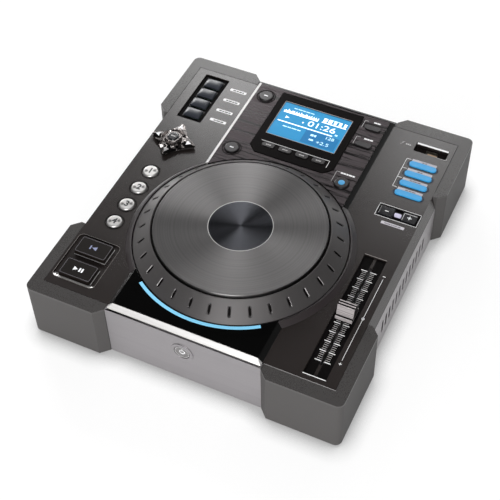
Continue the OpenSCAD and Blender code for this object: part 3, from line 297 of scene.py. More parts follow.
# each finish: its maker, the record's slot, the nodes that carry it, and the maker's settings
finishTable = {
    "blackSteel": (mouldedFinish, "black_steel", ["base_pan", "rear_panel"], dict(
        colour=(0.03, 0.03, 0.032), roughness=0.5, grain=700)),
    "silverPlate": (brushedFinish, "silver_plate", ["front_plate", "side_plate_left", "side_plate_right"], dict(
        colour=(0.32, 0.305, 0.315), metallic=0.9, roughness=0.38, streak=0.05, streakDepth=0.00001, spread=0.08)),
    "guardPlastic": (mouldedFinish, "guard_plastic", guards, dict(
        colour=(0.052, 0.049, 0.048), roughness=0.28, grainDepth=0.00003, cloud=0.05, shine=0.35,
        wallRoughness=0.62)),
    "coverPlastic": (mouldedFinish, "cover_plastic", ["cover_left", "cover_right"], dict(
        colour=(0.020, 0.016, 0.015), roughness=0.25, grainDepth=0.00003, cloud=0.06)),
    "brushedPanel": (brushedFinish, "brushed_panel", ["centre_panel"], dict(
        colour=(0.030, 0.024, 0.026), metallic=0.75, roughness=0.38, streak=0.95, streakDepth=0.0001, spread=0.44,
        run=16, fine=400)),
    # the bright trims and the dark trim are the bevels round the raised spine: the left and front ones take a bright
    # finish as a painted highlight, the right one gloss black as painted shade
    "brightTrim": (brushedFinish, "bright_trim", ["bright_trims"], dict(
        colour=(0.66, 0.65, 0.64), metallic=0.5, roughness=0.42, streak=0.03, streakDepth=0.00001)),
    "glossBlack": (glossFinish, "gloss_black", ["dark_trim", "front_deck"], dict(
        colour=(0.003, 0.003, 0.003), roughness=0.06, haze=0.03)),
    "bezelBlack": (glossFinish, "gloss_black", ["display_bezel"], dict(
        colour=(0.004, 0.003, 0.003), roughness=0.34, coat=0.0, shine=0.02)),
    "collarPlastic": (mouldedFinish, "collar_plastic", ["platter_collar"], dict(
        colour=(0.026, 0.021, 0.022), roughness=0.34, grain=800, grainDepth=0.00003, cloud=0.08)),
    "lightPipe": (litFinish, "light_pipe", ["light_arc"], dict(colour=(0.17, 0.45, 0.64), strength=0.6)),
    "jogMetal": (mouldedFinish, "jog_metal", ["jog_ring"], dict(
        colour=(0.085, 0.080, 0.080), metallic=0.5, roughness=0.34, grain=1000, grainDepth=0.00003, cloud=0.06)),
    "discMetal": (turnedFinish, "disc_metal", ["jog_disc"], dict(
        colour=(0.14, 0.136, 0.136), groove=0.0004, depth=0.00001, roughness=0.38, streak=0.14, pull=0.85)),
    "labelPlastic": (turnedFinish, "label_plastic", ["jog_label"], dict(
        colour=(0.060, 0.062, 0.070), groove=0.0004, depth=0.000006, roughness=0.24, streak=0.08, pull=0.85)),
    "bareSteel": (turnedFinish, "bare_steel", ["bearing_housing", "fader_body", "jog_hub", "nav_gimbal"], dict(
        colour=(0.45, 0.45, 0.46), groove=0.0009, depth=0.00001, roughness=0.3, streak=0.1)),
    "board": (mouldedFinish, "board", ["main_board", "switch_boards"], dict(
        colour=(0.03, 0.14, 0.07), roughness=0.4, grain=500)),
    "socketMetal": (brushedFinish, "socket_metal", ["usb_socket", "rear_sockets"], dict(
        colour=(0.6, 0.58, 0.54), roughness=0.3, streak=0.08)),
    # a brass tint that glows, painted light for the contact in the shaded socket
    "brass": (litFinish, "socket_metal", [], dict(colour=(0.36, 0.25, 0.16), strength=0.6)),
    "footRubber": (mouldedFinish, "foot_rubber", ["feet"], dict(
        colour=(0.02, 0.02, 0.02), roughness=0.7, grain=600)),
    "padRubber": (mouldedFinish, "pad_rubber", numbered("pad"), dict(
        colour=(0.026, 0.030, 0.040), roughness=0.42, grain=1200, grainDepth=0.00001, cloud=0.1, coat=0.5)),
    "keyBlack": (glossFinish, "key_black", ["nav_button"] + bendKeys, dict(
        colour=(0.008, 0.008, 0.010), roughness=0.14)),
    "navChrome": (chromeFinish, "key_black", ["nav_star"], dict(colour=(0.20, 0.185, 0.18), roughness=0.2)),
    "capBlack": (mouldedFinish, "key_black", playKeys, dict(
        colour=(0.008, 0.006, 0.005), roughness=0.36, grain=1200, grainDepth=0.00001, cloud=0.06, shine=0.12)),
    "keyGrey": (mouldedFinish, "key_grey", numbered("soft_key") + roundKeys + longKeys + ["jog_mode_key"], dict(
        colour=(0.024, 0.022, 0.023), metallic=0.3, roughness=0.3, grain=1100, grainDepth=0.00001, cloud=0.08,
        shine=0.4)),
    "keyBlue": (litFinish, "key_blue", numbered("oval_key"), dict(
        colour=(0.035, 0.25, 0.50), strength=0.34, roughness=0.3, shine=0.3)),
    "knobMetal": (brushedFinish, "knob_metal", ["fader_knob"], dict(
        colour=(0.47, 0.435, 0.435), metallic=0.45, roughness=0.35, streak=0.10)),
    "powerGrey": (mouldedFinish, "knob_metal", ["power_button"], dict(
        colour=(0.13, 0.125, 0.125), grainDepth=0.00002, cloud=0.06)),
    # the next three: a grey for painted edge highlights, a navy and a black for painted shade in gaps and recesses,
    # the black also colouring the fader bed, the knob grooves and the rear seams
    "rimGrey": (mouldedFinish, "cover_plastic", [], dict(
        colour=(0.24, 0.22, 0.21), roughness=0.4, grainDepth=0.00001, cloud=0.05)),
    "ovalShade": (mouldedFinish, "cover_plastic", [], dict(
        colour=(0.004, 0.014, 0.040), roughness=0.5, grain=1200, grainDepth=0.00001, cloud=0.06, shine=0.1)),
    "linerBlack": (mouldedFinish, "cover_plastic", [], dict(
        colour=(0.003, 0.0025, 0.0025), roughness=0.6, grain=1200, grainDepth=0.00002, cloud=0.1, shine=0.03)),
    "screenBlue": (litFinish, "screen", ["display_screen"], dict(
        colour=(0.018, 0.19, 0.38), strength=0.7, roughness=0.3, shine=0.1)),
    "screenDeep": (litFinish, "screen", [], dict(
        colour=(0.012, 0.13, 0.30), strength=0.6, roughness=0.3, shine=0.1)),
    "screenWhite": (litFinish, "screen", [], dict(colour=(0.85, 0.93, 0.98), strength=0.75)),
    "screenPale": (litFinish, "screen", [], dict(colour=(0.45, 0.72, 0.88), strength=0.75)),
    "signWhite": (litFinish, "light_pipe", [], dict(colour=(0.80, 0.81, 0.83), strength=0.3)),
    "signBlue": (litFinish, "light_pipe", [], dict(colour=(0.22, 0.24, 0.36), strength=0.35)),
    "lampBlue": (litFinish, "light_pipe", [], dict(colour=(0.04, 0.22, 0.42), strength=0.5)),
    "lampLilac": (litFinish, "light_pipe", [], dict(colour=(0.42, 0.40, 0.52), strength=0.35)),
    # print finishes, the white and the two greys also drawing painted highlight lines, and the grey also the painted
    # shade of the front arrow on the navigation pad
    "printWhite": (printFinish, "key_silver", [], dict(colour=(0.86, 0.86, 0.87))),
    "printPale": (printFinish, "key_silver", [], dict(colour=(0.52, 0.50, 0.54))),
    "printGrey": (printFinish, "key_grey", [], dict(colour=(0.40, 0.39, 0.39))),
    "inkGrey": (printFinish, "key_grey", [], dict(colour=(0.16, 0.15, 0.17))),
    "inkDark": (printFinish, "key_black", [], dict(colour=(0.02, 0.02, 0.022))),
}
for number, nodeName in enumerate(numbered("number_key"), 1):
    finishTable[f"keySilver{number}"] = (domeFinish, "key_silver", [nodeName], dict(
        colour=(0.60, 0.59, 0.58), centre=middle(nodeName)))
finishes, recordSlots, finishOf = {}, {}, {}
for finishName, (maker, slot, carriers, settings) in finishTable.items():
    finishes[finishName] = maker(finishName, **settings)
    recordSlots[finishName] = slot
    for nodeName in carriers:
        finishOf[nodeName] = finishName
        nodes[nodeName].data.materials.clear()
        nodes[nodeName].data.materials.append(finishes[finishName])
bodyOf = {node: body for body, names in frame["record"]["behaviour"]["bodies"].items() for node in names}
print("finishes made")


def addPiece(name, shape, finish, body="case", smoothAngle=30):
    mesh = bpy.data.meshes.new(name)
    shape.to_mesh(mesh)
    shape.free()
    mesh.materials.append(finishes[finish])
    mesh.shade_smooth()
    mesh.set_sharp_from_angle(angle=math.radians(smoothAngle))
    piece = bpy.data.objects.new(name, mesh)
    bpy.context.scene.collection.objects.link(piece)
    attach(piece, body)
    return piece


armCrown = {"inner": 13.6, "fall": 0.42, "floor": 74.9}


# gives each arm of the navigation pad a ridge, with its sides falling away
def crownArms(shape):
    hub = [part * mm for part in middle("nav_star")]
    for normal in ((1, 0, 0), (0, 1, 0)):
        bmesh.ops.bisect_plane(shape, geom=shape.verts[:] + shape.edges[:] + shape.faces[:], dist=1e-6,
                               plane_co=(*hub, 0), plane_no=normal)
    for vert in shape.verts:
        across, along = abs(vert.co.x - hub[0]) / mm, abs(vert.co.y - hub[1]) / mm
        if math.hypot(across, along) > armCrown["inner"] and vert.co.z > armCrown["floor"] * mm:
            vert.co.z = max(vert.co.z - armCrown["fall"] * min(across, along) * mm, armCrown["floor"] * mm)
    bmesh.ops.triangulate(shape, faces=[face for face in shape.faces if len(face.verts) > 4])


leverRoom = {"below": 2.0, "share": 0.97}


# keeps the fader knob's lever off the ends of its slot
def narrowLever(shape):
    along = middle("fader_knob")[1] * mm
    for vert in shape.verts:
        if vert.co.z < (top("cover_left") - leverRoom["below"]) * mm:
            vert.co.y = along + (vert.co.y - along) * leverRoom["share"]


# a node's own shape with its edges broken
def roundedNode(name, size, segments=2, angle=30, change=None):
    shape = bmesh.new()
    shape.from_mesh(nodes[name].data)
    bmesh.ops.remove_doubles(shape, verts=shape.verts, dist=2e-6)
    bmesh.ops.dissolve_limit(shape, angle_limit=math.radians(1.0), verts=shape.verts, edges=shape.edges)
    if change:
        change(shape)
    sharp = [edge for edge in shape.edges
             if len(edge.link_faces) == 2 and edge.calc_face_angle(0) > math.radians(angle)]
    bmesh.ops.bevel(shape, geom=sharp, offset=size * mm, offset_type="OFFSET", segments=segments, profile=0.5,
                    affect="EDGES", clamp_overlap=True, material=-1)
    piece = addPiece(name + "_skin", shape, finishOf[name], bodyOf[name], 40)
    even = piece.modifiers.new("even", "WEIGHTED_NORMAL")
    even.weight = 100
    even.keep_sharp = True
    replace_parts(piece, name)


# broken edges in millimetres, from the least angle in degrees, and the nodes that have them
edgeRounds = [
    (guards, dict(size=0.9, segments=3, angle=35)),
    (["cover_left", "cover_right"], dict(size=0.35)),
    (["centre_panel"], dict(size=0.25, angle=40)),
    (["display_bezel"], dict(size=0.15, angle=40)),
    (["front_deck", "power_button"], dict(size=0.3)),
    (["bright_trims", "dark_trim"], dict(size=0.5, segments=3)),
    (["platter_collar"], dict(size=0.4)),
    (["front_plate", "side_plate_left", "side_plate_right"], dict(size=0.3, angle=40)),
    (["nav_star"], dict(size=0.45, segments=3, angle=25, change=crownArms)),
    (["nav_button"], dict(size=0.6, segments=3, angle=25)),
    (["fader_knob"], dict(size=0.2, change=narrowLever)),
    (["jog_ring"], dict(size=0.3, angle=35)),
    (["jog_mode_key"] + roundKeys + numbered("number_key"), dict(size=0.5, segments=3)),
    (playKeys, dict(size=1.0, segments=4)),
    (bendKeys, dict(size=0.7, segments=3)),
    (longKeys, dict(size=0.9, segments=4)),
    (numbered("soft_key"), dict(size=0.8, segments=4)),
    (numbered("oval_key"), dict(size=1.1, segments=5)),
]
for names, settings in edgeRounds:
    for name in names:
        roundedNode(name, **settings)
print("edges rounded")


# turns a shape about its own zero, then moves it, in millimetres
def moved(shape, place, *turns):
    for degrees, axis in turns:
        bmesh.ops.rotate(shape, cent=(0, 0, 0), matrix=Matrix.Rotation(math.radians(degrees), 3, axis),
                         verts=shape.verts)
    bmesh.ops.translate(shape, vec=[part * mm for part in place], verts=shape.verts)
    return shape


# turns a flat face into a slab between two heights
def liftFace(shape, low, high):
    moved(shape, (0, 0, low))
    made = bmesh.ops.extrude_face_region(shape, geom=shape.faces[:])
    upper = [part for part in made["geom"] if isinstance(part, bmesh.types.BMVert)]
    bmesh.ops.translate(shape, vec=(0, 0, (high - low) * mm), verts=upper)
    bmesh.ops.recalc_face_normals(shape, faces=shape.faces)


# a flat slab, with rounded corners if told so
def slab(x, y, width, depth, low, high, corner=0.0, turn=0.0):
    shape = bmesh.new()
    bmesh.ops.create_grid(shape, x_segments=1, y_segments=1, size=0.5)
    bmesh.ops.scale(shape, vec=(width * mm, depth * mm, 1), verts=shape.verts)
    if corner:
        bmesh.ops.bevel(shape, geom=shape.verts[:], offset=corner * mm, offset_type="OFFSET", segments=6,
                        profile=0.5, affect="VERTICES", clamp_overlap=True, material=-1)
    liftFace(shape, low, high)
    return moved(shape, (x, y, 0), (turn, "Z"))


# a flat slab with straight sides through points about a middle
def outline(x, y, points, low, high):
    shape = bmesh.new()
    shape.faces.new([shape.verts.new(((x + px) * mm, (y + py) * mm, 0)) for px, py in points])
    liftFace(shape, low, high)
    return shape


def joined(shapes):
    whole = bmesh.new()
    for shape in shapes:
        spare = bpy.data.meshes.new("spare")
        shape.to_mesh(spare)
        shape.free()
        whole.from_mesh(spare)
        bpy.data.meshes.remove(spare)
    return whole


# a drawn line of one width through points about a middle
def line(x, y, points, width, low, high):
    shapes = []
    for start, end in zip(points, points[1:]):
        run = Vector(end) - Vector(start)
        centre = (Vector(start) + Vector(end)) / 2
        shapes.append(slab(x + centre.x, y + centre.y, run.length + width, width, low, high,
                           turn=math.degrees(math.atan2(run.y, run.x))))
    return joined(shapes)


# a drawn rectangle
def border(left, right, front, rear, width, low, high):
    return line(0, 0, [(left, front), (left, rear), (right, rear), (right, front), (left, front)], width, low, high)


# a profile of radius and height turned about an upright axis
def turned(x, y, profile, steps, start=0.0, sweep=360.0, closed=False):
    shape = bmesh.new()
    verts = [shape.verts.new((radius * mm, 0, height * mm)) for radius, height in profile]
    for pair in zip(verts, verts[1:] + (verts[:1] if closed else [])):
        shape.edges.new(pair)
    moved(shape, (0, 0, 0), (start, "Z"))
    bmesh.ops.spin(shape, geom=shape.verts[:] + shape.edges[:], cent=(0, 0, 0), axis=(0, 0, 1),
                   angle=math.radians(sweep), steps=steps, use_merge=sweep == 360.0)
    bmesh.ops.remove_doubles(shape, verts=shape.verts, dist=1e-6)
    rims = [edge for edge in shape.edges if edge.is_boundary]
    if rims:
        bmesh.ops.holes_fill(shape, edges=rims)
    moved(shape, (x, y, 0))
    bmesh.ops.recalc_face_normals(shape, faces=shape.faces)
    return shape


# a flat ring, or part of one
def ring(x, y, inner, outer, low, high, steps=48, start=0.0, sweep=360.0):
    return turned(x, y, [(inner, low), (outer, low), (outer, high), (inner, high)], steps, start, sweep, closed=True)


def words(text, size, x, y, low, high, widen=1.0, thicken=0.0):
    curve = bpy.data.curves.new("words", "FONT")
    curve.body = text
    curve.size = size * mm
    curve.align_x = "CENTER"
    curve.align_y = "CENTER"
    curve.offset = thicken * mm
    curve.extrude = (high - low) / 2 * mm
    spare = bpy.data.objects.new("words", curve)
    mesh = bpy.data.meshes.new_from_object(spare)
    shape = bmesh.new()
    shape.from_mesh(mesh)
    bpy.data.objects.remove(spare)
    bpy.data.curves.remove(curve)
    bpy.data.meshes.remove(mesh)
    bmesh.ops.scale(shape, vec=(widen, 1, 1), verts=shape.verts)
    bmesh.ops.remove_doubles(shape, verts=shape.verts, dist=1e-6)
    return moved(shape, (x, y, (low + high) / 2))


# a row of short dashes that stands for small print
def dashes(x, y, lengths, height, low, high, gap=0.7):
    shapes = []
    at = x - (sum(lengths) + gap * (len(lengths) - 1)) / 2
    for length in lengths:
        shapes.append(slab(at + length / 2, y, length, height, low, high))
        at += length + gap
    return joined(shapes)


# the outline of a rectangle with round corners, from its front left corner round
def roundedPath(x, y, width, depth, corner, steps=5):
    points = []
    for side, ahead, start in ((-1, -1, 180), (1, -1, 270), (1, 1, 0), (-1, 1, 90)):
        for step in range(steps + 1):
            turn = math.radians(start + 90 * step / steps)
            points.append((x + side * (width / 2 - corner) + corner * math.cos(turn),
                           y + ahead * (depth / 2 - corner) + corner * math.sin(turn)))
    return points


# a skin over rows of vertices, the last row back to the first, with ends where the rows are open
def skin(shape, rows, closed=True):
    count = len(rows[0])
    for first, second in zip(rows, rows[1:] + rows[:1]):
        for index in range(count if closed else count - 1):
            after = (index + 1) % count
            shape.faces.new((first[index], first[after], second[after], second[index]))
    if not closed:
        for end in (0, -1):
            shape.faces.new([row[end] for row in rows])
    bmesh.ops.recalc_face_normals(shape, faces=shape.faces)
    return shape


# a flat loop between two rounded rectangles, each with its width, depth and corner
def loop(x, y, outer, inner, low, high):
    shape = bmesh.new()
    return skin(shape, [[shape.verts.new((px * mm, py * mm, level * mm)) for px, py in roundedPath(x, y, *sizes)]
                        for sizes, level in ((outer, low), (inner, low), (inner, high), (outer, high))])


inkDepth, inkSeat = 0.12, 0.02


# heights of a mark that starts a little below a surface
def ink(level, lift=inkDepth):
    return level - inkSeat, level + lift


coverTop = top("cover_left")
panelTop = top("centre_panel")
recessFloor = coverTop - 1.8
linerTop = recessFloor + 0.2
onCover = (coverTop, coverTop + inkDepth)
onLabel = (coverTop + inkDepth, coverTop + 2 * inkDepth)
onFloor = (recessFloor, linerTop)


# strips with dashes on them, one strip for each place in a column
def addLabels(plateName, plateFinish, printName, inkFinish, x, width, depth, corner, shift, inkHeight, gap, rows):
    addPiece(plateName, joined([slab(x, y, width, depth, *onCover, corner) for y, lengths in rows]), plateFinish)
    addPiece(printName, joined([dashes(x + shift, y - 0.1, lengths, inkHeight, *onLabel, gap)
                                for y, lengths in rows]), inkFinish)


# left column: labels beside the pads
padLabels = {"x": -98.85, "width": 19.7, "depth": 4.0, "corner": 1.2, "shift": 0.6, "inkHeight": 1.5, "gap": 0.7,
             "rows": [(153.7, (3.4, 2.6, 3.0, 2.2)), (135.6, (2.4, 3.6, 2.6, 3.2)), (117.7, (3.0, 2.2, 4.0, 2.6)),
                      (101.1, (2.6, 4.4, 3.4))]}
addLabels("padLabelPlates", "printWhite", "padLabelPrint", "inkDark", **padLabels)

# painted shade: dark slabs on the floor of the recess, around and between the pads
padRecess = {"rear": 165.75, "front": 90.35, "sides": 12.6, "sideWide": 4.3, "barWide": 21.0, "padHalf": 7.4,
             "sideGap": 0.3, "endGap": 0.4}
padX = middle("pad_1")[0]
rear, front = padRecess["rear"], padRecess["front"]
padShades = [slab(padX + side * padRecess["sides"], (rear + front) / 2, padRecess["sideWide"],
               rear - front - 2 * padRecess["sideGap"], *onFloor) for side in (-1, 1)]
edges = [rear - padRecess["endGap"]]
for name in numbered("pad"):
    edges += [middle(name)[1] + padRecess["padHalf"], middle(name)[1] - padRecess["padHalf"]]
edges.append(front + padRecess["endGap"])
for high, low in zip(edges[::2], edges[1::2]):
    padShades.append(slab(padX, (high + low) / 2, padRecess["barWide"], high - low, *onFloor))
addPiece("padRecessShade", joined(padShades), "linerBlack")

# ridge is how far the crown lies behind the middle, as a share of the half depth
padShape = {"width": 19.5, "depth": 13.5, "crown": 2.3, "skirt": 1.3, "corner": 1.6, "seat": 0.3, "ridge": 0.22,
            "frontFall": 0.92, "fullness": 2.6}


# a rubber pad, crowned and fuller towards its rear
def padPillow(name):
    ridge, fullness = padShape["ridge"], padShape["fullness"]
    shape = bmesh.new()
    bmesh.ops.create_grid(shape, x_segments=26, y_segments=18, size=0.5)
    for vert in shape.verts:
        across, along = abs(vert.co.x * 2), vert.co.y * 2
        if along > ridge:
            fall = ((along - ridge) / (1 - ridge)) ** fullness
        else:
            fall = ((ridge - along) / (1 + ridge)) ** fullness * padShape["frontFall"]
        rise = (1 - across ** 4) ** 0.7 * (1 - fall) ** 0.9
        vert.co.z = (padShape["skirt"] + padShape["crown"] * max(0.0, rise)) * mm
    rim = [edge for edge in shape.edges if edge.is_boundary]
    skirt = bmesh.ops.extrude_edge_only(shape, edges=rim)
    for vert in [part for part in skirt["geom"] if isinstance(part, bmesh.types.BMVert)]:
        vert.co.z = 0
    bmesh.ops.contextual_create(shape, geom=[edge for edge in shape.edges if edge.is_boundary])
    width, depth, corner = [padShape[part] * mm for part in ("width", "depth", "corner")]
    bmesh.ops.scale(shape, vec=(width, depth, 1), verts=shape.verts)
    for vert in shape.verts:
        pivot = Vector((math.copysign(width / 2 - corner, vert.co.x), math.copysign(depth / 2 - corner, vert.co.y)))
        offset = vert.co.xy - pivot
        if abs(vert.co.x) > abs(pivot.x) and abs(vert.co.y) > abs(pivot.y) and offset.length > corner:
            vert.co.xy = pivot + offset.normalized() * corner
    moved(shape, (*middle(name), recessFloor + padShape["seat"]))
    bmesh.ops.recalc_face_normals(shape, faces=shape.faces)
    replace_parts(addPiece(name + "_pillow", shape, "padRubber", name, 50), name)


for name in numbered("pad"):
    padPillow(name)
print("pads made")


# painted shade: a flat dark ring in the gap round a round key
def gapRing(name, level, width):
    edge = span(name)[0] / 2
    return ring(*middle(name), edge, edge + width, *ink(level, 0.04))


# digits of the numbered keys, with painted shade in their gaps
numberPrint = {"size": 10.0, "thicken": 0.35, "gap": 0.9}
for number, name in enumerate(numbered("number_key"), 1):
    addPiece(f"numberSign_{number}", words(str(number), numberPrint["size"], *middle(name), *ink(top(name)),
                                            thicken=numberPrint["thicken"]), "inkDark", name)
    addPiece(f"numberGapShade_{number}", gapRing(name, coverTop, numberPrint["gap"]), "linerBlack")

# signs on the cue and play buttons: node, finish, base and tip of a triangle, and bars with their width
buttonSigns = {"cueSign": ("cue_button", "signBlue", 3.4, -1.8, (-3.6,), 1.4),
               "playSign": ("play_button", "signWhite", -5.6, -0.8, (1.4, 4.3), 1.7)}
for name, (node, finish, base, tip, bars, width) in buttonSigns.items():
    x, y = middle(node)
    heights = ink(top(node))
    parts = [outline(x, y, [(base, -2.5), (tip, 0), (base, 2.5)], *heights)]
    parts += [slab(x + bar, y, width, 4.8, *heights) for bar in bars]
    addPiece(name, joined(parts), finish, node)

# painted highlights: a fine light line on each cap and a bright foot line beside it, as width, depth and corner, and
# as points
capHighlights = {"outer": (33.9, 19.4, 1.6), "inner": (33.3, 18.8, 1.4), "lift": 0.04, "footWide": 0.5, "footHigh": 0.3,
            "foot": [(18.3, 9.6), (18.3, -11.0), (-17.0, -11.0)]}
for name in playKeys:
    x, y = middle(name)
    addPiece(name + "_line", loop(x, y, capHighlights["outer"], capHighlights["inner"], top(name) - capHighlights["lift"],
                                  top(name) + capHighlights["lift"]), "inkGrey", name)
    addPiece(name + "_foot", line(x, y, capHighlights["foot"], capHighlights["footWide"], recessFloor,
                                  recessFloor + capHighlights["footHigh"]), "printGrey")

# painted highlight along the rim of the dished recess round both buttons
cueX, cueY = middle("cue_button")[0], (middle("cue_button")[1] + middle("play_button")[1]) / 2
cueRecess = {"width": 47.5, "depth": 59.4, "corner": 5.0, "edge": 0.25, "slope": 5.4, "sink": 1.8}
wide, deep, corner, edge = [cueRecess[part] for part in ("width", "depth", "corner", "edge")]
addPiece("cueRimHighlight", loop(cueX, cueY, (wide + 2 * edge, deep + 2 * edge, corner + 0.2), (wide, deep, corner),
                         *ink(coverTop, 0.06)), "rimGrey")
cueHighlightSettings = {"inset": 0.3, "first": 4, "last": 22, "narrow": 0.3, "widen": 2.5, "lean": 0.4, "under": -0.1,
                "over": 0.12}


# painted highlight: a bright strip on the slope at the front of the recess, widest in the middle
def cueSill():
    inset, under, over = cueHighlightSettings["inset"], cueHighlightSettings["under"], cueHighlightSettings["over"]
    path = roundedPath(cueX, cueY, wide - 2 * inset, deep - 2 * inset, corner - inset, 12)
    path = path[cueHighlightSettings["first"]:cueHighlightSettings["last"]]
    shape = bmesh.new()
    rows = [[], [], [], []]
    for index, (x, y) in enumerate(path):
        share = min(1.0, 2.5 * math.sin(math.pi * index / (len(path) - 1)))
        inward = Vector((cueX - x, cueY - y)).normalized() * (cueHighlightSettings["narrow"] + cueHighlightSettings["widen"] * share)
        inner = (x + inward.x * cueHighlightSettings["lean"], y + inward.y)
        for row, (px, py, lift) in zip(rows, ((x, y, under), (*inner, under), (*inner, over), (x, y, over))):
            rise = max(0.0, cueRecess["sink"] * (1 - (py - cueY + deep / 2) / cueRecess["slope"]))
            row.append(shape.verts.new((px * mm, py * mm, (recessFloor + rise + lift) * mm)))
    return skin(shape, rows, closed=False)


addPiece("cueSill", cueSill(), "brightTrim")

# signs on the round keys, the soft keys, the jog mode key and the navigation pad's button
for name in roundKeys:
    addPiece(name + "_sign", slab(*middle(name), 4.6, 1.5, *ink(top(name)), 0.4), "printWhite", name)
    # painted shade: a dark ring in the gap round each round key
    addPiece(name + "_ring", gapRing(name, panelTop, 1.3), "linerBlack")
for name in numbered("soft_key"):
    addPiece(name + "_sign", dashes(*middle(name), (1.8, 1.2, 2.0), 1.4, *ink(top(name)), 0.4), "printGrey", name)
high = top("jog_mode_key")
addPiece("jogModeLamp", turned(*middle("jog_mode_key"), [(0, high - 0.05), (3.6, high - 0.05), (3.3, high + 0.25),
                                                         (0, high + 0.45)], 32), "lampBlue", "jog_mode_key")
addPiece("navDash", slab(*middle("nav_button"), 5.2, 1.3, *ink(top("nav_button")), 0.4), "printGrey", "nav_button")

# arrows on the navigation pad, folded over the ridge of each arm; the rear, left and right ones glow white as a
# painted highlight, the front one is grey print as painted shade
arrowSettings = {"inner": 16.6, "outer": 21.6, "half": 3.0, "under": -0.3, "over": 0.12}
armSlope = {"start": 14.7, "below": 1.4, "drop": 2.6 / 11.9}


def armHeight(out, across):
    return (top("nav_star") - armSlope["below"] - (out - armSlope["start"]) * armSlope["drop"]
            - armCrown["fall"] * abs(across))


for name, turn in (("Right", 0), ("Rear", 90), ("Left", 180), ("Front", 270)):
    inner, outer, half = arrowSettings["inner"], arrowSettings["outer"], arrowSettings["half"]
    arrow = bmesh.new()
    for lift in (arrowSettings["under"], arrowSettings["over"]):
        row = [arrow.verts.new((out * mm, across * mm, (armHeight(out, across) + lift) * mm))
               for out, across in ((inner, -half), (outer, 0), (inner, half), (inner, 0))]
        arrow.faces.new((row[0], row[1], row[3]))
        arrow.faces.new((row[3], row[1], row[2]))
    arrow.verts.ensure_lookup_table()
    for first, second in ((0, 1), (1, 2), (2, 3), (3, 0)):
        arrow.faces.new([arrow.verts[index] for index in (first, second, second + 4, first + 4)])
    bmesh.ops.recalc_face_normals(arrow, faces=arrow.faces)
    addPiece("navArrow" + name, moved(arrow, (*middle("nav_star"), 0), (turn, "Z")),
             "printGrey" if name == "Front" else "signWhite", "nav_star", 10)

# right column: mark, a bright sill that is a light bevel with its highlight painted on, a brass contact that glows as
# painted light, and the corner line of the memory stick socket
stickRecess = {"x": 133.0, "y": 153.9, "half": 17.6, "rear": 160.8, "deep": 1.2, "fall": 0.75}
x, y, half = stickRecess["x"], stickRecess["y"], stickRecess["half"]
addPiece("stickMark", joined([
    line(98.5, 151.0, [(0, 0), (2.7, 4.2)], 0.5, *onCover),
    line(99.6, 154.6, [(0, 0), (2.2, 1.0)], 0.5, *onCover),
    dashes(107.0, 153.2, (1.7, 1.5, 1.7), 1.7, *onCover, 0.5)]), "printGrey")
sill = outline(x, stickRecess["rear"], [(-half, -stickRecess["deep"]), (half, -stickRecess["deep"]), (half, 0),
                                        (-half, 0)], coverTop - 0.5, coverTop - 0.1)
for vert in sill.verts:
    vert.co.z -= (stickRecess["rear"] * mm - vert.co.y) * stickRecess["fall"]
addPiece("stickSillHighlight", sill, "printWhite")
addPiece("stickTongue", slab(x + 1.5, y + 0.6, 10.5, 1.6, coverTop - 7.3, coverTop - 7.1), "brass")
addPiece("stickLine", line(x, y, [(19.2, -5.0), (19.2, -7.6), (8.0, -7.6)], 0.4, *ink(coverTop)), "printGrey")

# painted shade in the gaps round the oval keys, then their labels and bracket
for number, name in enumerate(numbered("oval_key"), 1):
    width, depth = span(name)
    addPiece(f"ovalGapShade_{number}", loop(*middle(name), (width + 2.0, depth + 0.6, depth / 2 + 0.3),
                                       (width, depth, depth / 2), *ink(coverTop, 0.04)), "ovalShade")
columnX = middle("oval_key_1")[0]
ovalLabels = {"x": columnX - 0.2, "width": 27.5, "depth": 3.5, "corner": 0.3, "shift": 0.2, "inkHeight": 1.3,
              "gap": 0.7, "rows": [(middle(name)[1] + 6.1, lengths) for name, lengths in zip(
                  numbered("oval_key"), ((2.4, 2.0), (2.6, 2.2), (3.0, 4.0, 3.6), (3.4, 3.0, 3.6)))]}
addLabels("ovalLabelPlates", "printPale", "ovalLabelPrint", "inkGrey", **ovalLabels)
bracketSettings = {"x": 112.8, "reach": 4.7, "ends": (133.2, 89.0), "bars": (118.6, 103.7), "width": 0.45}
reach, (rear, front) = bracketSettings["reach"], bracketSettings["ends"]
bracket = [line(bracketSettings["x"], 0, points, bracketSettings["width"], *onCover)
           for points in [[(reach, rear), (0, rear), (0, front), (reach, front)]]
           + [[(0, y), (reach, y)] for y in bracketSettings["bars"]]]
addPiece("ovalBracket", joined(bracket), "printWhite")

# pitch bend keys: painted shade on the recess floor, frame, lamp, signs and label
bendX, bendY = (middle("bend_down_key")[0] + middle("bend_up_key")[0]) / 2, middle("bend_up_key")[1]
bendSettings = {"frameX": 22.75, "frameY": 8.6, "sign": 0.9,
                "liner": [(0, 0, 8.4, 16.0), (0, 7.35, 44.0, 1.7), (0, -7.35, 44.0, 1.7), (-21.3, 0, 1.6, 16.0),
                          (21.3, 0, 1.6, 16.0)]}
addPiece("bendRecessShade", joined([slab(bendX + x, bendY + y, width, depth, *onFloor)
                              for x, y, width, depth in bendSettings["liner"]]), "linerBlack")
addPiece("bendFrame", border(bendX - bendSettings["frameX"], bendX + bendSettings["frameX"],
                             bendY - bendSettings["frameY"], bendY + bendSettings["frameY"], 0.4, *onCover),
         "printWhite")
x, y = middle("bend_up_key")
heights = ink(top("bend_up_key"))
addPiece("bendUpSign", joined([slab(x, y, 4.6, bendSettings["sign"], *heights),
                               slab(x, y, bendSettings["sign"], 4.6, *heights)]), "printWhite", "bend_up_key")
addPiece("bendUpFrame", line(x, y, [(-6.6, -4.8), (-6.6, 4.8), (6.6, 4.8)], 0.35, *heights), "printWhite",
         "bend_up_key")
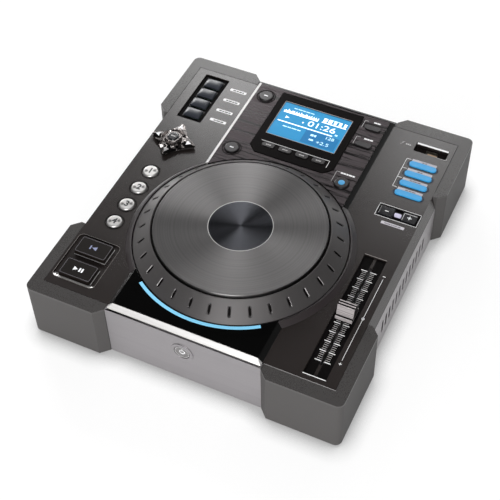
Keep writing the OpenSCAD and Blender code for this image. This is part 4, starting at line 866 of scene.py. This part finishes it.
addPiece("bendDownSign", slab(*middle("bend_down_key"), 4.0, bendSettings["sign"], *ink(top("bend_down_key"))),
         "printWhite", "bend_down_key")
addPiece("bendLamp", slab(bendX, bendY - 0.6, 7.4, 4.2, linerTop, coverTop + 0.5, 1.4), "lampLilac")
bendLabel = {"x": 132.75, "width": 25.0, "depth": 3.6, "corner": 0.4, "shift": 0.0, "inkHeight": 1.3, "gap": 0.5,
             "rows": [(36.6, (2.6, 3.4, 2.0, 4.2, 3.4))]}
addLabels("bendLabelPlate", "printPale", "bendLabelPrint", "inkGrey", **bendLabel)
print("right column marked")

# fader: black bed beside its slot, with a painted highlight line at either end of the recess
faderX = middle("fader_body")[0]
faderRecess = {"width": 23.7, "rear": -10.45, "front": -166.95, "bedWide": 10.0, "bedOut": 6.6, "bedGap": 0.55,
               "sill": 0.8, "rim": 0.6}
width, rear, front = faderRecess["width"], faderRecess["rear"], faderRecess["front"]
addPiece("faderBed", joined([
    slab(faderX + side * faderRecess["bedOut"], (rear + front) / 2, faderRecess["bedWide"],
         rear - front - 2 * faderRecess["bedGap"], *onFloor) for side in (-1, 1)]), "linerBlack")
addPiece("faderFrontHighlight", slab(faderX, front - faderRecess["sill"] / 2, width, faderRecess["sill"], *ink(coverTop, 0.04)),
         "printWhite")
addPiece("faderRearHighlight", slab(faderX, rear + faderRecess["rim"] / 2, width, faderRecess["rim"], *ink(coverTop, 0.04)),
         "rimGrey")

# seams between the covers and the guards: dark lines at the rear, a painted highlight along the front
seamLines = {"inner": 84.2, "outer": 157.0, "rear": 173.5, "arm": 99.5}
inner, outer, rear = seamLines["inner"], seamLines["outer"], seamLines["rear"]
for side, name in ((-1, "Left"), (1, "Right")):
    addPiece("rearSeam" + name, line(0, 0, [(side * inner, rear), (side * outer, rear),
                                            (side * outer, seamLines["arm"])], 0.5, *ink(coverTop, 0.03)),
             "linerBlack")
addPiece("frontSeamHighlight", line(0, 0, [(inner + 0.5, -rear), (outer, -rear)], 0.4, *ink(coverTop, 0.03)), "printGrey")

# two columns of long and short marks on the bed; in is how far they start from its middle
longTicks = {"rear": -29.5, "pitch": 11.8, "count": 11, "in": 1.4, "length": 6.6, "width": 0.8}
fineTicks = {"between": 4, "in": 1.9, "length": 4.6, "width": 0.5}
onLiner = (linerTop, linerTop + inkDepth)


def tickPair(settings, y):
    out = settings["in"] + settings["length"] / 2
    return [slab(faderX + side * out, y, settings["length"], settings["width"], *onLiner) for side in (-1, 1)]


longMarks, fineMarks = [], []
for number in range(longTicks["count"]):
    y = longTicks["rear"] - number * longTicks["pitch"]
    longMarks += tickPair(longTicks, y)
    if number < longTicks["count"] - 1:
        for part in range(fineTicks["between"]):
            fineMarks += tickPair(fineTicks, y - (part + 1) * longTicks["pitch"] / (fineTicks["between"] + 1))
addPiece("faderTicks", joined(longMarks), "printWhite")
addPiece("faderFineTicks", joined(fineMarks), "printGrey")

# grooves and dark cheeks of the fader knob
knobX, knobY = middle("fader_knob")
knobShape = {"side": 8.85, "half": 8.9, "bend": 5.8, "crest": 3.7, "foot": coverTop + 3.0, "base": coverTop + 0.6,
             "thick": 0.04}
knobTop, foot = top("fader_knob"), knobShape["foot"]
knobGrooves = [(1.6, 1.5, knobTop - 1.3, knobTop - 0.5), (6.8, 1.3, foot - 1.3, foot - 0.3)]
addPiece("knobGrooves", joined([slab(knobX, knobY + side * out, 17.6, depth, low, high)
                                for out, depth, low, high in knobGrooves for side in (-1, 1)]),
         "linerBlack", "fader_knob")
half, bend, crest = knobShape["half"], knobShape["bend"], knobShape["crest"]
cheekPoints = [(-half, knobShape["base"]), (half, knobShape["base"]), (half, foot - 0.9), (bend, foot),
               (crest, knobTop - 0.7), (-crest, knobTop - 0.7), (-bend, foot), (-half, foot - 0.9)]
for side, name in ((-1, "Left"), (1, "Right")):
    cheek = outline(0, 0, cheekPoints, -knobShape["thick"], knobShape["thick"])
    addPiece("knobCheek" + name, moved(cheek, (knobX + side * knobShape["side"], knobY, 0), (90, "X"), (90, "Z")),
             "keyGrey", "fader_knob")

# scale beside the fader, with its ring, minus and plus
scaleSettings = {"x": 149.5, "middle": -87.0, "gap": 1.8, "reach": 53.0, "minus": -30.2, "plus": -144.4}
x, y = scaleSettings["x"], scaleSettings["middle"]
addPiece("pitchScale", joined([
    line(x, y, [(0, scaleSettings["reach"]), (0, scaleSettings["gap"])], 0.4, *onCover),
    line(x, y, [(0, -scaleSettings["gap"]), (0, -scaleSettings["reach"])], 0.4, *onCover),
    ring(x, y, 0.8, 1.4, *onCover, 24),
    slab(x, scaleSettings["minus"], 2.8, 0.7, *onCover),
    slab(x, scaleSettings["plus"], 2.8, 0.7, *onCover),
    slab(x, scaleSettings["plus"], 0.7, 2.8, *onCover)]), "printWhite")
print("fader marked")

# display: border, picture and its marks
bezelInk = ink(top("display_bezel"))
pictureHeights = (top("display_screen") - 0.02, top("display_screen") + 0.15)
screenFrame = {"half": 40.3, "rear": 156.4, "front": 102.0}
picture = {"half": 37.8, "rear": 155.0, "front": 104.5}
addPiece("screenOutline", border(-screenFrame["half"], screenFrame["half"], screenFrame["front"], screenFrame["rear"],
                                 0.5, *bezelInk), "printGrey")
wide, deep = 2 * picture["half"], picture["rear"] - picture["front"]
addPiece("screenPicture", slab(0, (picture["rear"] + picture["front"]) / 2, wide, deep, *pictureHeights, 0.8),
         "screenBlue")
onPicture = (pictureHeights[1], pictureHeights[1] + inkDepth)


# a place on the picture, by shares of its width and depth from its rear left corner
def onScreen(across, down):
    return -picture["half"] + across * wide, picture["rear"] - down * deep


# bars by place and size, the last number being the corner
bars = [(0.29, 0.265, 0.54 * wide, 2.2, 0), (0.81, 0.255, 0.38 * wide, 1.4, 0), (0.44, 0.575, 0.86 * wide, 1.4, 0),
        (0.375, 0.44, 2.4, 0.7, 0), (0.375, 0.44, 0.7, 2.4, 0)]
bars += [(0.66 + number * 0.078, 0.17, size, 5.4, 0.3) for number, size in enumerate((4.4, 4.4, 3.2, 3.2, 3.2))]
marks = [slab(*onScreen(across, down), width, depth, *onPicture, corner)
         for across, down, width, depth, corner in bars]
wave = {"count": 30, "start": 0.025, "step": 0.0183, "down": 0.25, "least": 1.2, "swing": 3.4}
for number in range(wave["count"]):
    spike = wave["least"] + wave["swing"] * abs(math.sin(number * 1.7) * math.cos(number * 0.83 + 0.4))
    x, y = onScreen(wave["start"] + number * wave["step"], wave["down"])
    marks.append(slab(x, y + spike / 2, 1.0, spike, *onPicture))
marks.append(outline(*onScreen(0.12, 0.42), [(-2.0, -1.9), (2.4, 0), (-2.0, 1.9)], *onPicture))
marks.append(words("01:26", 11.6, *onScreen(0.665, 0.42), *onPicture, 1.3))
addPiece("screenMarks", joined(marks), "screenWhite")
addPiece("screenBlock", slab(*onScreen(0.74, 0.80), 0.52 * wide, 0.38 * deep, onPicture[0] - 0.05,
                             onPicture[0] + 0.04), "screenDeep")
smallPrint = [(0.27, 0.70, (5.0, 4.0, 6.0, 4.0), 1.3), (0.30, 0.10, (4.0, 5.0, 3.0, 5.0, 4.0), 1.1),
              (0.80, 0.12, (3.0, 2.4, 3.4), 1.1), (0.92, 0.52, (3.0,), 2.2), (0.62, 0.72, (3.4, 2.4), 3.0),
              (0.62, 0.86, (5.0,), 2.4)]
pale = [dashes(*onScreen(across, down), lengths, size, *onPicture, 0.8) for across, down, lengths, size in smallPrint]
pale.append(words("128", 6.0, *onScreen(0.86, 0.68), *onPicture, 1.2))
pale.append(words("+2.5", 6.6, *onScreen(0.80, 0.88), *onPicture, 1.3))
addPiece("screenPale", joined(pale), "screenPale")
addPiece("softKeyLine", line(0, 0, [(-39.4, 89.6), (40.6, 89.6), (40.6, 79.3)], 0.5, *bezelInk), "printWhite")
print("display made")

# right of the display: brackets from a front left corner, by depth, and dashes
keyBrackets = [(52.0, 152.8, 11.6, 4.0), (52.6, 126.0, 11.8, 4.0), (52.9, 63.9, 16.1, 4.1)]
addPiece("keyBrackets", joined([line(x, y, [(0, 0), (0, depth), (width, depth)], 0.5, *ink(panelTop))
                                for x, y, depth, width in keyBrackets]), "printGrey")
keyLabels = [(66.0, 164.7, (3.6, 3.6)), (66.3, 137.2, (3.2, 2.6, 3.4)), (65.6, 79.4, (2.6, 3.0, 2.4, 3.8, 2.4))]
addPiece("keyLabels", joined([dashes(x, y, lengths, 2.0, *ink(panelTop), 0.4) for x, y, lengths in keyLabels]),
         "printWhite")

# platter: painted shade on the floor of the groove round the disc, and a painted highlight line on the edge of its
# label
discTop = top("jog_disc")
platterRings = {"grooveIn": 88.8, "grooveOut": 90.7, "sunk": 4.0, "thick": 0.2, "labelIn": 32.7, "labelOut": 33.2}
seat = discTop - platterRings["sunk"]
addPiece("grooveShade", ring(platterX, platterY, platterRings["grooveIn"], platterRings["grooveOut"], seat,
                             seat + platterRings["thick"], 96), "linerBlack", "platter")
addPiece("labelEdgeHighlight", ring(platterX, platterY, platterRings["labelIn"], platterRings["labelOut"],
                           *ink(discTop, 0.1), 96), "brightTrim", "platter")

# painted shade in the finger dimples of the ring, set on its slope
dimples = {"count": 32, "start": 8, "long": 5.4, "flat": 2.4, "half": 1.2, "sunk": 0.52, "thick": 0.1,
           "radius": 101.0, "level": 85.05, "slope": 42.8545}
long, flat, half, sunk = [dimples[part] for part in ("long", "flat", "half", "sunk")]
dimpleShades = []
for number in range(dimples["count"]):
    lens = outline(0, 0, [(-long, 0), (-flat, -half), (flat, -half), (long, 0), (flat, half), (-flat, half)],
                   -sunk - dimples["thick"], -sunk)
    moved(lens, (dimples["radius"], 0, dimples["level"]), (dimples["slope"], "Y"))
    dimpleShades.append(moved(lens, (platterX, platterY, 0), (dimples["start"] + number * 360 / dimples["count"], "Z")))
addPiece("ringDimpleShade", joined(dimpleShades), "linerBlack", "platter")

# power button: sign standing on its face, rim and the shade round it, each drawn flat and turned upright
low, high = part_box("power_button")
powerFace, powerZ = low[1] / mm, (low[2] + high[2]) / 2 / mm
powerParts = {
    "powerSign": ([ring(0, 0, 2.3, 3.0, 0, inkDepth, 40, 125, 290), slab(0, 2.6, 0.7, 3.2, 0, inkDepth)], 0.6,
                  "printWhite", "power_button"),
    "powerRim": ([ring(0, 0, 7.3, 7.8, 0, inkDepth)], inkSeat, "printGrey", "power_button"),
    "powerShade": ([ring(0, 0, 8.0, 8.7, 0, inkDepth, 32, -20, 175)], inkSeat, "linerBlack", "case"),
}
for name, (shapes, inside, finish, body) in powerParts.items():
    addPiece(name, moved(joined(shapes), (0, powerFace + inside, powerZ), (90, "X")), finish, body)
print("marks made")

cameraSettings = {"location": (0.3550, -0.7374, 0.9846), "turn": (39.9371, 1.0756, 25.2475), "lens": 84.755}
cameraData = bpy.data.cameras.new("camera")
cameraData.lens = cameraSettings["lens"]
cameraData.sensor_width = 36
camera = bpy.data.objects.new("camera", cameraData)
camera.location = cameraSettings["location"]
camera.rotation_euler = [math.radians(turn) for turn in cameraSettings["turn"]]
bpy.context.scene.collection.objects.link(camera)
bpy.context.scene.camera = camera
bpy.context.scene.view_settings.view_transform = "Standard"


# one for camera and transmission rays, and a chosen share for glossy ones
def seenShare(shader, glossyShare=1.0):
    straight, glossy, through = [shader.node("ShaderNodeLightPath", output=name)
                                 for name in ("Is Camera Ray", "Is Glossy Ray", "Is Transmission Ray")]
    return straight.math("MAXIMUM", straight, straight.math("MAXIMUM", glossy * glossyShare, through))


# pale floor with a painted contact shadow where the object stands close; contact is how far that reaches
floorSettings = {"size": 6.0, "colour": (1.0, 1.0, 1.0), "glow": 0.75, "strength": 1.02, "glossyShare": 0.5,
                 "contact": 0.022, "shadow": [(0.5, 0.35), (0.75, 0.72), (0.98, 1.0)]}
floorShape = bmesh.new()
bmesh.ops.create_grid(floorShape, x_segments=1, y_segments=1, size=floorSettings["size"] / 2)
floorMesh = bpy.data.meshes.new("floor")
floorShape.to_mesh(floorMesh)
floorShape.free()
floorShader = newMaterial("floor")
floorBody = floorShader.node("ShaderNodeBsdfDiffuse", {}, {"Color": tint(floorSettings["colour"])})
floorContactShadow = floorShader.node("ShaderNodeAmbientOcclusion", {"samples": 8}, {"Distance": floorSettings["contact"]},
                             output="AO")
floorGlow = floorShader.node("ShaderNodeEmission", {}, {
    "Color": floorShader.ramp(floorContactShadow, floorSettings["shadow"]), "Strength": floorSettings["strength"]})
floorMix = floorShader.node("ShaderNodeMixShader", {}, {
    "Fac": seenShare(floorShader, floorSettings["glossyShare"]) * floorSettings["glow"], 1: floorBody, 2: floorGlow})
floorShader.node("ShaderNodeOutputMaterial", {}, {"Surface": floorMix})
floorMesh.materials.append(floorShader.owner)
floor = bpy.data.objects.new("floor", floorMesh)
bpy.context.scene.collection.objects.link(floor)

# white round the horizon, a dark ceiling above; height is the sine of the elevation
worldSettings = {"ambient": 0.28, "ceiling": [(0.05, 1.0), (0.12, 0.5), (0.24, 0.06), (0.5, 0.0)]}
world = bpy.data.worlds.new("studio")
bpy.context.scene.world = world
studio = Shader(world)
seen = seenShare(studio)
height = studio.node("ShaderNodeSeparateXYZ", {}, {
    "Vector": studio.node("ShaderNodeTexCoord", output="Generated")}, output="Z")
backdrop = studio.ramp(height, worldSettings["ceiling"])
studio.node("ShaderNodeOutputWorld", {}, {"Surface": studio.node("ShaderNodeBackground", {}, {
    "Color": tint((1, 1, 1)),
    "Strength": seen * backdrop + (1 - seen) * worldSettings["ambient"]})})

# soft boxes: place, size and power
lamps = {
    "farLeftBox": ((-1.46, 1.30, 0.82), (0.66, 0.72), 20),
    "rearLeftBox": ((-0.70, 1.30, 1.06), (0.32, 0.50), 4.4),
    "rearBox": ((-0.50, 1.30, 0.58), (0.32, 0.50), 3.6),
    "rearRightBox": ((-0.10, 1.30, 1.05), (0.32, 0.50), 2.6),
    "farRightBox": ((0.30, 1.30, 0.50), (0.32, 0.50), 1.9),
    "frontBox": ((0.30, -1.90, 0.70), (0.90, 0.70), 38),
    "highBox": ((0.60, -0.90, 1.50), (0.90, 0.90), 7),
}
lampAim = Vector((0, 0, 0.05))
for name, (place, size, power) in lamps.items():
    data = bpy.data.lights.new(name, "AREA")
    data.shape = "RECTANGLE"
    data.size, data.size_y = size
    data.energy = power
    light = bpy.data.objects.new(name, data)
    light.location = place
    light.rotation_euler = (lampAim - Vector(place)).to_track_quat("-Z", "Y").to_euler()
    bpy.context.scene.collection.objects.link(light)
print("camera and lights placed")
